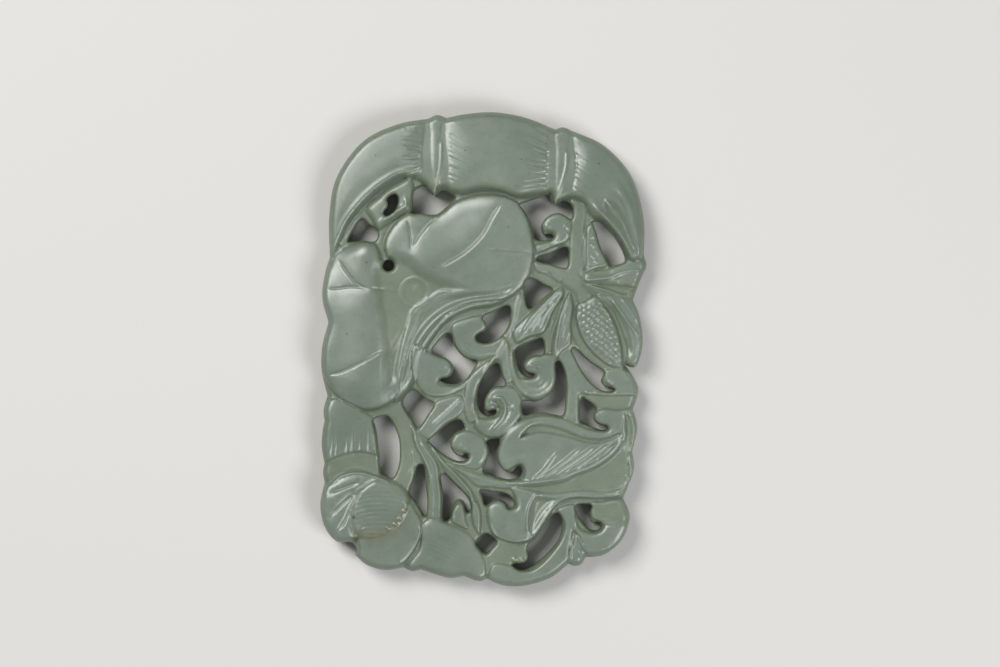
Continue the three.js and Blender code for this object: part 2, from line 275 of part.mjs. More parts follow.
// Raised and sunk lines: full width, rise, and the path of the middle.
const LINES = {
  leftRootCrease: { width: 1.4, rise: 0.16, path: [[-24.4, 17.8], [-23.4, 20.6], [-21.6, 23.5],
    [-19.3, 26], [-16.8, 28], [-14, 29.5], [-11.4, 30]] },
  rightRootInner: { width: 1.2, rise: 0.3, path: [[19.4, 23.4], [21, 21.6], [22.6, 19.7],
    [24, 17.7], [25.1, 15.8]] },
  rightRootOuter: { width: 1.5, rise: 0.3, path: [[23.8, 25.4], [24.9, 23], [25.5, 20.5], [26, 18],
    [26.4, 16]] },
  leafRim: { width: 1.2, rise: 0.26, path: [[4.2, 9], [1.6, 8.4], [-1, 8.1], [-3.4, 7.5],
    [-5.6, 6.5], [-7.6, 5.1], [-9.4, 3.3], [-10.6, 1.2], [-11.5, -1], [-12.2, -4], [-13.1, -6.3],
    [-14.7, -8.2]] },
  foldCrease: { width: 1.2, rise: 0.26, path: [[-5, 9.9], [-7, 9.7], [-8.9, 8.6], [-10.6, 7.4],
    [-11.8, 6.4], [-12.2, 5], [-13, 2.4], [-13.7, -0.6], [-14.2, -3.4], [-14.5, -4.8]] },
  bracketCrest: { width: 1.2, rise: 0.35, path: [[-12.9, 25.6], [-13, 24.2], [-14.6, 23.1],
    [-16.1, 22.1], [-17.3, 21.2]] },
  roughFoot: { width: 1.2, rise: 0.35, path: [[16.9, 12.5], [17.8, 13.4], [19.6, 14], [20.8, 14]] },
  sidePetalUpper: { width: 1.2, rise: 0.35, path: [[17.2, 11.6], [19.4, 11.8], [21.4, 12.1],
    [23.2, 12.9], [24.8, 13.2], [26.8, 13.2]] },
  sidePetalLower: { width: 1.2, rise: 0.35, path: [[17.2, 11.2], [18.9, 10.5], [21.6, 9.7],
    [23.6, 9]] },
  sidePetalHollow: { width: 1.6, rise: -0.4, path: [[18.4, 11.1], [20.6, 11], [23.4, 10.8],
    [25.6, 10.6]] },
  longPetalEdge: { width: 1.2, rise: 0.3, path: [[25.3, 7.6], [26.2, 5], [26.7, 2], [26.4, -0.5],
    [25.6, -2.6]] },
  longPetalHollow: { width: 1.6, rise: -0.35, path: [[20.6, 8.6], [22.6, 5.8], [24.2, 2.6],
    [24.8, -1.4]] },
  slantPetal: { width: 1.2, rise: 0.4, path: [[13, 10.2], [10.6, 7.8], [8.4, 5.4], [6.5, 2.6]] },
  lowPetal: { width: 1.2, rise: 0.4, path: [[14.3, 9], [13.3, 6], [12.6, 2.6], [12.1, -0.8]] },
  podRim: { width: 1.2, rise: 0.3, path: [[15.8, 6], [16.4, 3.2], [17.4, 1.2], [18.6, -0.3],
    [20, -1.6], [21.6, -2.7]] },
  loopCrest: { width: 1.2, rise: 0.28, path: [[3.9, 1.5], [2.4, -0.8], [0.6, -3.4], [-0.6, -6],
    [-1.4, -8.6], [-1.6, -10.8]] },
  commaEdge: { width: 1.2, rise: 0.2, path: [[12.1, -4.4], [11.7, -6.1], [10.4, -7.4], [8.6, -7.9],
    [6.8, -7.3]] },
  ringCrest: { width: 1.2, rise: 0.45, path: [[1.8, -8.3], [3, -8.2], [3.8, -9.4], [3.6, -11.2],
    [2.6, -12.6], [1.2, -13.9]] },
  ringHollow: { width: 1.2, rise: -0.5, path: [[1.2, -9], [2.2, -9.2], [2.9, -10]] },
  branchEdge: { width: 1.2, rise: 0.3, path: [[17, -7.2], [19, -7.5], [22, -7.6], [25.8, -7.5]] },
  midrib: { width: 1.2, rise: 0.3, path: [[4.2, -22.6], [8, -22.4], [11.2, -22], [13.6, -21.6],
    [15.4, -20.8], [18.5, -19.6], [21, -18], [22.4, -16.6], [23.5, -15]] },
  margin: { width: 1.2, rise: 0.3, path: [[25.2, -20.6], [24.9, -22.6], [23.9, -24], [22, -24.7],
    [19.6, -24.9], [16.6, -24.7], [14.2, -25], [12.6, -25.9], [11, -27.7], [9.5, -30], [8.3, -31.6]] },
  tipRim: { width: 1.2, rise: 0.35, path: [[9.9, -24.4], [8.8, -24.7], [7.9, -26.3], [7.5, -28.4],
    [7.5, -30.8]] },
  budLeft: { width: 1.2, rise: 0.3, path: [[15.6, -31.1], [15, -32.3], [14.9, -34], [14.6, -35.6]] },
  leftStem: { width: 1.2, rise: 0.4, path: [[-11.5, -14.4], [-10.9, -16.4], [-9.9, -18.2],
    [-9.2, -19.8], [-8.8, -21.6]] },
  middleStem: { width: 1.2, rise: 0.3, path: [[-10.4, -15.6], [-9.4, -17.2], [-8, -19.2],
    [-7.6, -21.6], [-7.3, -25], [-7.4, -28.6]] },
  forkStem: { width: 1.2, rise: 0.35, path: [[-7.2, -18.4], [-5, -20.6], [-3.4, -22.4], [-2.1, -24],
    [-1.6, -26]] },
  underPetalEdge: { width: 1.2, rise: 0.3, path: [[-10.5, -29.6], [-10.7, -31.4], [-11.7, -33.6],
    [-13.1, -35.4], [-14, -36]] },
  petalTop: { width: 1.2, rise: 0.25, path: [[-25.4, -22.6], [-24, -21.4], [-22, -20.8],
    [-20, -20.8], [-18.4, -21.3], [-17, -21.8], [-15.5, -22.4]] },
  lobeVein: { width: 1.6, rise: -0.3, path: [[-24.2, 14.9], [-22.8, 12.9], [-21.4, 11.3],
    [-19.8, 10.4]] },
  sideVein: { width: 1.6, rise: -0.3, path: [[-26, 10.1], [-24, 10.3], [-22, 10.5], [-19.5, 10.3]] },
  lowVein: { width: 1.6, rise: -0.3, path: [[-25.8, -4.3], [-23.6, -3.7], [-21, -2.5],
    [-18.8, -1.4], [-16.8, -0.2]] },
  smallVein: { width: 1.6, rise: -0.3, path: [[-12.6, 21.6], [-12.3, 19.6], [-12, 16.9]] },
  archVein: { width: 1.6, rise: -0.3, path: [[-7.8, 22.2], [-9.4, 20.6], [-10.8, 18.8],
    [-11.7, 17.2]] },
  mainVein: { width: 1.6, rise: -0.3, path: [[3, 24.3], [1.6, 22.2], [0.4, 19.8], [-1.2, 17.8],
    [-3.6, 15.8], [-7, 13.8]] },
  firstDomeGroove: { width: 1.4, rise: -0.35, path: [[-25.6, -24.1], [-23, -23.1], [-20.8, -22.3]] },
  secondDomeGroove: { width: 1.4, rise: -0.35, path: [[-25.6, -28], [-23.8, -26.2], [-21.8, -24.4]] },
  thirdDomeGroove: { width: 1.4, rise: -0.35, path: [[-24.4, -30.4], [-23, -28.6], [-22.2, -26.8]] },
};

const TWO_PI = 2 * Math.PI;
const CORD_HOLE_SIDES = 12;
const CLOSEST = 0.62; // share of the spacing below which a point is left out

// A smooth curve through points, as a list of points on it. A closed curve comes back to its start;
// an open one stops before its last point, so that runs can be joined. Its spans are halved until
// their facets stray less than error and are shorter than longest.
function trace(points, closed, error, longest) {
  const knots = points.map(([x, y]) => new THREE.Vector3(x, y, 0));
  const curve = new THREE.CatmullRomCurve3(knots, closed, "centripetal");
  const spans = closed ? points.length : points.length - 1;
  const traced = [];
  const halve = (from, to) => {
    const middle = (from + to) / 2;
    const start = curve.getPoint(from);
    const end = curve.getPoint(to);
    const stray = curve.getPoint(middle).distanceTo(start.clone().lerp(end, 0.5));
    if (stray > error || start.distanceTo(end) > longest) {
      halve(from, middle);
      halve(middle, to);
    } else {
      traced.push([start.x, start.y]);
    }
  };
  for (let span = 0; span < spans; span++) {
    halve(span / spans, (span + 1) / spans);
  }
  return traced;
}

// The closed outer edge, made of its runs.
function traceOuterEdge() {
  const runs = Object.values(OUTER_EDGE);
  return runs.flatMap((run, i) => {
    const next = runs[(i + 1) % runs.length][0];
    return trace([...run, next], false, EDGE_ERROR, LONGEST_CHORD);
  });
}

function circle([x, y], radius, sides) {
  return Array.from({ length: sides }, (_, i) => {
    const angle = (TWO_PI * i) / sides;
    return [x + radius * Math.cos(angle), y + radius * Math.sin(angle)];
  });
}

// Distance from a point to the nearest piece of a line or of a closed loop.
function distanceTo(line, closed, x, y) {
  let nearest = Infinity;
  for (let i = closed ? 0 : 1; i < line.length; i++) {
    const [ax, ay] = line[i === 0 ? line.length - 1 : i - 1];
    const [bx, by] = line[i];
    const dx = bx - ax;
    const dy = by - ay;
    const along = ((x - ax) * dx + (y - ay) * dy) / (dx * dx + dy * dy);
    const t = Math.min(Math.max(along, 0), 1);
    nearest = Math.min(nearest, (x - ax - t * dx) ** 2 + (y - ay - t * dy) ** 2);
  }
  return Math.sqrt(nearest);
}

function isInside(loop, x, y) {
  let inside = false;
  for (let i = 0, j = loop.length - 1; i < loop.length; j = i++) {
    const [ax, ay] = loop[i];
    const [bx, by] = loop[j];
    if (ay > y !== by > y && x < ((bx - ax) * (y - ay)) / (by - ay) + ax) {
      inside = !inside;
    }
  }
  return inside;
}

// How far inside a loop a point lies, or 0 outside it.
function depthInside(loop, x, y) {
  return isInside(loop, x, y) ? distanceTo(loop, true, x, y) : 0;
}

// The profile of a polished edge: a quarter round from 0 at the edge to 1 at its reach.
function quarterRound(depth, reach) {
  const t = Math.min(depth / reach, 1);
  return Math.sqrt(1 - (1 - t) ** 2);
}

function smoothStep(depth, reach) {
  const t = Math.min(depth / reach, 1);
  return t * t * (3 - 2 * t);
}

// Fits the drawn plan to the plaque: the drawn outer edge fills the length and the width.
function fitting(drawn) {
  const fit = (values, size) => {
    const low = Math.min(...values);
    const high = Math.max(...values);
    return (value) => ((value - (low + high) / 2) * size) / (high - low);
  };
  const fitX = fit(drawn.map(([x]) => x), WIDTH);
  const fitY = fit(drawn.map(([, y]) => y), LENGTH);
  return ([x, y]) => [fitX(x), fitY(y)];
}

const drawnEdge = traceOuterEdge();
const fitted = fitting(drawnEdge);
const traceFitted = (points, closed, longest) => trace(points, closed, EDGE_ERROR, longest).map(fitted);
const outerEdge = drawnEdge.map(fitted);
const cordHole = circle(fitted(CORD_HOLE_CENTRE), CORD_HOLE_DIAMETER / 2, CORD_HOLE_SIDES);
const holes = [...Object.values(OPENINGS).map((edge) => traceFitted(edge, true, LONGEST_CHORD)), cordHole];
const loops = [outerEdge, ...holes];
const traceForm = (form) => ({ ...form, edge: traceFitted(form.edge, true, FORM_CHORD) });
const forms = Object.values(FORMS).map(traceForm);
const hollows = Object.values(HOLLOWS).map(traceForm);
const lines = Object.values(LINES).map((line) => ({
  ...line,
  path: [...traceFitted(line.path, false, LINE_SPACING), fitted(line.path.at(-1))],
}));

function isMaterial(x, y) {
  return isInside(outerEdge, x, y) && !loops.slice(1).some((hole) => isInside(hole, x, y));
}

function edgeDistance(x, y) {
  return Math.min(...loops.map((loop) => distanceTo(loop, true, x, y)));
}

// Height of the carving above the back, before it is lifted to the thickness
function carvedHeight(x, y) {
  let height = LEVEL.stem;
  for (const { level, foot, reach, edge } of forms) {
    const depth = depthInside(edge, x, y);
    if (depth > 0) {
      const step = STEP_SHARE * smoothStep(depth, STEP_WIDTH);
      const rise = step + (1 - STEP_SHARE) * quarterRound(depth, reach);
      height = Math.max(Math.min(height, level), foot + (level - foot) * rise);
    }
  }
  for (const { level, reach, edge } of hollows) {
    const depth = depthInside(edge, x, y);
    height += Math.min(level - height, 0) * smoothStep(depth, reach);
  }
  for (const { width, rise, path } of lines) {
    const reach = width / 2;
    const depth = Math.max(reach - distanceTo(path, false, x, y), 0);
    height += rise * smoothStep(depth, reach);
  }
  return height;
}

// How far the polished rounding of the nearest cut edge lowers the front
function edgeFall(x, y) {
  const outer = OUTER_FALL * (1 - quarterRound(distanceTo(outerEdge, true, x, y), OUTER_ROUNDING));
  const inner = loops.slice(1).map((hole) => distanceTo(hole, true, x, y));
  return Math.max(outer, HOLE_FALL * (1 - quarterRound(Math.min(...inner), HOLE_ROUNDING)));
}

function backHeight(x, y) {
  return BACK_FALL * (1 - quarterRound(edgeDistance(x, y), BACK_ROUNDING));
}

// Points are kept in rows of small squares, so that a new one is only tested against those near it.
class SpacedPoints {
  constructor(square) {
    this.square = square;
    this.squares = new Map();
    this.points = [];
  }

  add(x, y, spacing) {
    const column = Math.round(x / this.square);
    const row = Math.round(y / this.square);
    for (let i = column - 1; i <= column + 1; i++) {
      for (let j = row - 1; j <= row + 1; j++) {
        const near = this.squares.get(`${i},${j}`) ?? [];
        if (near.some(([a, b]) => (a - x) ** 2 + (b - y) ** 2 < spacing ** 2)) {
          return;
        }
      }
    }
    const key = `${column},${row}`;
    this.squares.set(key, [...(this.squares.get(key) ?? []), [x, y]]);
    this.points.push([x, y]);
  }
}

// Points inside the material: a row beside every cut edge, then any lines, then a grid.
function surfacePoints(firstRow, spacing, linePaths) {
  const spaced = new SpacedPoints(spacing);
  const addInside = (x, y, share, clearance) => {
    if (isMaterial(x, y) && edgeDistance(x, y) > clearance) {
      spaced.add(x, y, share * spacing);
    }
  };
  const rowShare = Math.min(CLOSEST, (CLOSEST * 2 * firstRow) / spacing);
  for (const loop of loops) {
    const turn = Math.sign(THREE.ShapeUtils.area(loop.map(([x, y]) => new THREE.Vector2(x, y))));
    const side = loop === outerEdge ? turn : -turn;
    loop.forEach(([x, y], i) => {
      const [ax, ay] = loop[(i + loop.length - 1) % loop.length];
      const [bx, by] = loop[(i + 1) % loop.length];
      const length = Math.hypot(bx - ax, by - ay);
      const reach = (side * firstRow) / length;
      addInside(x - (by - ay) * reach, y + (bx - ax) * reach, rowShare, 0.8 * firstRow);
    });
  }
  linePaths.flat().forEach(([x, y]) => addInside(x, y, CLOSEST, 1.6 * firstRow));
  const rowHeight = (spacing * Math.sqrt(3)) / 2;
  for (let row = Math.ceil(-LENGTH / 2 / rowHeight); row * rowHeight < LENGTH / 2; row++) {
    for (let x = -WIDTH / 2 + ((row & 1) * spacing) / 2; x < WIDTH / 2; x += spacing) {
      addInside(x, row * rowHeight, CLOSEST, Math.min(firstRow + 0.5 * spacing, 1));
    }
  }
  return spaced.points;
}

// Delaunay triangles over points: each new point takes the place of the triangles whose circles
// hold it. The first three points are corners of a triangle round all the others.
function triangulate(points) {
  const far = 10 * LENGTH;
  const all = [[-far, -far], [far, -far], [0, far], ...points];
  const circled = (a, b, c) => {
    const [ax, ay] = all[a];
    const [bx, by] = [all[b][0] - ax, all[b][1] - ay];
    const [cx, cy] = [all[c][0] - ax, all[c][1] - ay];
    const twice = 2 * (bx * cy - by * cx);
    const x = (cy * (bx * bx + by * by) - by * (cx * cx + cy * cy)) / twice;
    const y = (bx * (cx * cx + cy * cy) - cx * (bx * bx + by * by)) / twice;
    return { corners: [a, b, c], x: ax + x, y: ay + y, square: x * x + y * y };
  };
  let triangles = [circled(0, 1, 2)];
  for (let p = 3; p < all.length; p++) {
    const [x, y] = all[p];
    const kept = [];
    const rim = new Map();
    for (const triangle of triangles) {
      if ((triangle.x - x) ** 2 + (triangle.y - y) ** 2 >= triangle.square) {
        kept.push(triangle);
        continue;
      }
      triangle.corners.forEach((from, i) => {
        const to = triangle.corners[(i + 1) % 3];
        if (!rim.delete(`${to},${from}`)) {
          rim.set(`${from},${to}`, [from, to]);
        }
      });
    }
    triangles = kept.concat([...rim.values()].map(([from, to]) => circled(from, to, p)));
  }
  return triangles
    .filter(({ corners }) => corners.every((corner) => corner > 2))
    .map(({ corners }) => corners.map((corner) => corner - 3));
}

// Splits the cut edges' facets until all of them are sides of triangles of both surfaces.
function meshPlan(frontPoints, backPoints) {
  for (;;) {
    const edgePoints = loops.flat();
    const surfaces = [frontPoints, backPoints].map((inner) => {
      const points = [...edgePoints, ...inner];
      return { points, triangles: triangulate(points) };
    });
    const sides = surfaces.map(({ triangles }) => new Set(
      triangles.flatMap(([a, b, c]) => [`${a},${b}`, `${b},${c}`, `${c},${a}`]),
    ));
    const isSide = (a, b) => sides.every((set) => set.has(`${a},${b}`) || set.has(`${b},${a}`));
    let first = 0;
    let whole = true;
    for (const loop of loops) {
      const split = loop.flatMap((point, i) => {
        const next = (i + 1) % loop.length;
        if (isSide(first + i, first + next)) {
          return [point];
        }
        whole = false;
        return [point, [(point[0] + loop[next][0]) / 2, (point[1] + loop[next][1]) / 2]];
      });
      first += loop.length;
      loop.splice(0, loop.length, ...split);
    }
    if (whole) {
      const isInMaterial = (points) => (triangle) => {
        const [x, y] = [0, 1].map((axis) => triangle.reduce((sum, p) => sum + points[p][axis] / 3, 0));
        return isMaterial(x, y);
      };
      return surfaces.map(({ points, triangles }) => ({
        points,
        triangles: triangles.filter(isInMaterial(points)),
      }));
    }
  }
}

// The plaque: the carved front, the flat back and the upright walls of every cut edge between them.
function makePlaque() {
  const carvedLines = [...lines.map(({ path }) => path), ...forms.map(({ edge }) => edge)];
  const frontPoints = surfacePoints(FIRST_ROW, FRONT_SPACING, carvedLines);
  const backPoints = surfacePoints(BACK_ROUNDING, BACK_SPACING, []);
  const [front, back] = meshPlan(frontPoints, backPoints);
  const carved = front.points.map(([x, y]) => carvedHeight(x, y) - edgeFall(x, y));
  const lift = THICKNESS / Math.max(...carved);
  const positions = [
    ...front.points.flatMap(([x, y], i) => [x, y, carved[i] * lift]),
    ...back.points.flatMap(([x, y]) => [x, y, backHeight(x, y)]),
  ];
  const under = front.points.length;
  const faces = [
    ...front.triangles,
    ...back.triangles.map(([a, b, c]) => [under + a, under + c, under + b]),
  ];
  let first = 0;
  for (const loop of loops) {
    const area = THREE.ShapeUtils.area(loop.map(([x, y]) => new THREE.Vector2(x, y)));
    const outwards = loop === outerEdge ? area > 0 : area < 0;
    for (let i = 0; i < loop.length; i++) {
      const ends = [first + i, first + ((i + 1) % loop.length)];
      const [a, b] = outwards ? ends : ends.reverse();
      faces.push([a, under + a, under + b], [a, under + b, b]);
    }
    first += loop.length;
  }
  const geometry = new THREE.BufferGeometry();
  geometry.setAttribute("position", new THREE.Float32BufferAttribute(positions, 3));
  geometry.setIndex(faces.flat());
  geometry.computeVertexNormals();
  return geometry;
}

const jade = new THREE.MeshStandardMaterial({ color: 0x8a9886, roughness: 0.28, metalness: 0 });
const plaque = new THREE.Mesh(makePlaque(), jade);
plaque.name = "openwork_plaque";

const carving = new THREE.Group();
carving.add(plaque);

export default carving;
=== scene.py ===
"""An openwork jade plaque, carved in one piece with a lotus root, leaves, seed pods and scrolling stems.

The plan is drawn in millimetres, x to the right and y up from the middle of the plaque, and fitted to
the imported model's box. Heights are millimetres above the flat back."""
import math

import bpy
import numpy as np
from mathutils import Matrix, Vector
from mathutils.geometry import delaunay_2d_cdt


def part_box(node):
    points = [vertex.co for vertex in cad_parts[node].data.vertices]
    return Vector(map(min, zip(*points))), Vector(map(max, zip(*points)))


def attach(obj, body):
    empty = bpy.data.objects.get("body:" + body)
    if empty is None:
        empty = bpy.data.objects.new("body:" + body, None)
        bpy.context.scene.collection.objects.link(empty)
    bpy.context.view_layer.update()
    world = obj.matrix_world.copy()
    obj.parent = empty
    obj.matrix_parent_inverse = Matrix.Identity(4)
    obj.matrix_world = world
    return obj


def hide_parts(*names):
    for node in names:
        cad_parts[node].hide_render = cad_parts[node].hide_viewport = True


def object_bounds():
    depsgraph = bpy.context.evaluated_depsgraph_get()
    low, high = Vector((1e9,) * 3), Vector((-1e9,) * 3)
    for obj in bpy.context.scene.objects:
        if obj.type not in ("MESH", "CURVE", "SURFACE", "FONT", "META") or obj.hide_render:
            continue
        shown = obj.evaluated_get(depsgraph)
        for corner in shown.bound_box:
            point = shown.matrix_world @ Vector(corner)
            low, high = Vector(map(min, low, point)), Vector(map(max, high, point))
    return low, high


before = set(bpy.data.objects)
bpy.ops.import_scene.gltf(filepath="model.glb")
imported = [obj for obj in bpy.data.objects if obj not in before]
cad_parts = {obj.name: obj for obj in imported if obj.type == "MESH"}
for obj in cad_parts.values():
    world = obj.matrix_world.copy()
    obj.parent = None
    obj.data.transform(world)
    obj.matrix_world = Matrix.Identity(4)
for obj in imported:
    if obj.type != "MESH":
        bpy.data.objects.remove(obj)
CAD_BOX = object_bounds()

MM = 0.001
PLAQUE = "openwork_plaque"

# Heights of the carving above the back
BACK_EDGE = 0.63
SUNK = 4.1
STEM = 4.7
SCROLL = 5.2
PETAL = 5.5
POD = 5.9
LEAF = 6.05
ROOT = 6.75

# Rounding of the edges: reach inwards and fall
OUTER_ROUNDING = 1.15
OUTER_FALL = 1.7
HOLE_ROUNDING = 0.5
HOLE_FALL = 0.75
BACK_ROUNDING = 0.7
STEP_SHARE = 0.6  # of a form's rise is made by the short step at its edge, the rest by its swell
RIDGE_TAPER = 1.3  # times a ridge's width, at each of its ends
CUT_TAPER = 1.6
CUT_SHARPNESS = 1.2
SWELL_SPACING = 1.2
SWELL_FROM = 4.8  # the height above which the broad swells show
SWELL_FADE = 0.9

# The net of scales on the right-hand seed pod
RIGHT_POD_CENTRE = (19.5, 2.6)
RIGHT_POD_LEAN = math.radians(-24)
SCALE_ROW = 0.94
SCALE_ROW_BEND = 0.05
SCALE_COLUMN = 1.08
SCALE_RADIUS = 0.6
SCALE_RISE = 0.055
SCALE_SEAM = 0.42
SEAM_DEPTH = 0.06
SCALES_END = 8.3

# The striations of the left-hand seed pod
LEFT_POD_CENTRE = (-16.8, -27.2)
STRIATION_SPACING = 0.78
STRIATION_DEPTH = 0.07

# Painted shade on each part, from 0 to 1, or how much a line adds to that; the same amount also roughens the
# surface
# Painted shade darkens the jade in hollows, grooves, cuts, along edges and on the walls; a negative amount
# paints a highlight along ridges
BED_PAINTED_SHADE = 0.6
HOLLOW_PAINTED_SHADE = 0.7
RIDGE_PAINTED_HIGHLIGHT = -0.5
GROOVE_PAINTED_SHADE = 0.35
CUT_PAINTED_SHADE = 0.6
STROKE_PAINTED_SHADE = 1.2
EDGE_PAINTED_SHADE = 0.9
EDGE_PAINTED_SHADE_REACH = 0.9
WALL_PAINTED_SHADE = 0.9
BACK_PAINTED_SHADE = 0.35

# Fineness of the mesh. Rows are distances from an edge, or shares of a line's width from its middle.
EDGE_SPACING = 0.24
EDGE_ROWS = (0.06, 0.17, 0.34, 0.58, 0.9)
KEPT_SHARE = 0.93  # of its row's distance that a point needs to lie from every edge
EDGE_GAP = 0.12
FORM_ROWS = (-0.11, 0.03, 0.15, 0.29, 0.48, -0.15, -0.29, -0.48)
LINE_SPACING = 0.2
RIDGE_ROWS = (0.25, 0.5)
CUT_ROWS = (0.27, 0.55)
STROKE_ROWS = (0.26, 0.5)
FILL_SPACING = 0.31
FINE_SPACING = 0.165
HEX_ROW = 0.866
CLEARANCE = 0.115
BACK_SPACING = 1.3
BACK_ROWS = (0.15, 0.4, 0.75)
BACK_GRID_GAP = 1.2
BACK_CLEARANCE = 0.14
SHORTEST = 1e-6
FAR_OFF = 9.0

# The outer edge, clockwise from the notch in the leaf's left side. Each run is one lobe, a smooth
# curve through its points to the first point of the next run.
OUTER_EDGE = {
    "leaf_shoulder": [(-26, 4.6), (-27.05, 8.6), (-26.6, 12.8)],
    "left_root": [(-25.8, 15.6), (-25.85, 22.5), (-24.7, 28.8), (-20.2, 35), (-14.6, 37.85)],
    "first_ring": [(-9.1, 38.9), (-7.7, 39.5)],
    "middle_root": [(-6.1, 39), (-2.5, 39.7), (2, 39.95), (7.4, 39)],
    "second_ring": [(12.2, 37.05), (13.6, 37.4)],
    "right_root": [(14.9, 36.9), (20.4, 34.35), (25, 29.3), (27.2, 21.8)],
    "side_petal": [(27.2, 15.9), (27.65, 14.1), (26.7, 11.9)],
    "long_petal": [(25.35, 8.3), (26.5, 5.4), (26.95, 0.6), (25.7, -3)],
    "upper_hook": [(24.05, -2.7), (25.4, -4.6), (26.3, -6.9)],
    "leaf_tip": [(25.35, -10.2), (26.1, -13.1), (25.6, -15.6)],
    "leaf_margin": [(25.2, -17.3), (25.55, -20), (24.7, -22.6)],
    "corner_lobe": [(23.7, -25.1), (24.8, -28), (23.5, -32), (20.3, -34.7)],
    "bud": [(17.3, -35.1), (16.6, -36.3), (15.5, -36.5)],
    "lower_lobe": [(14.5, -36.2), (11.3, -38.6), (5.8, -40), (2.4, -39.5)],
    "small_curl": [(0.8, -38.65), (-0.5, -39.1)],
    "striated_leaf": [(-3.1, -38.2), (-5.5, -38.6), (-8.3, -37.85)],
    "little_bud": [(-10.4, -37.1), (-11.9, -37.4)],
    "under_petal": [(-13.4, -36.8), (-16.4, -37.2), (-19.4, -36.4)],
    "broken_notch": [(-21.5, -34.7), (-21.2, -33.7), (-22.2, -32.6)],
    "fan_petal": [(-23.5, -32.55), (-24.7, -32.4), (-26.6, -29.9), (-27.35, -26.4)],
    "band_rim": [(-26.65, -22.4), (-26.95, -20.8)],
    "stem_bundle": [(-26.7, -19.2), (-27.15, -16.2), (-26.95, -13.4)],
    "bundle_top": [(-26.65, -12.1), (-26.85, -10.3)],
    "leaf_flank": [(-26.2, -7.8), (-27.15, -3.6), (-27, 0.8)],
}

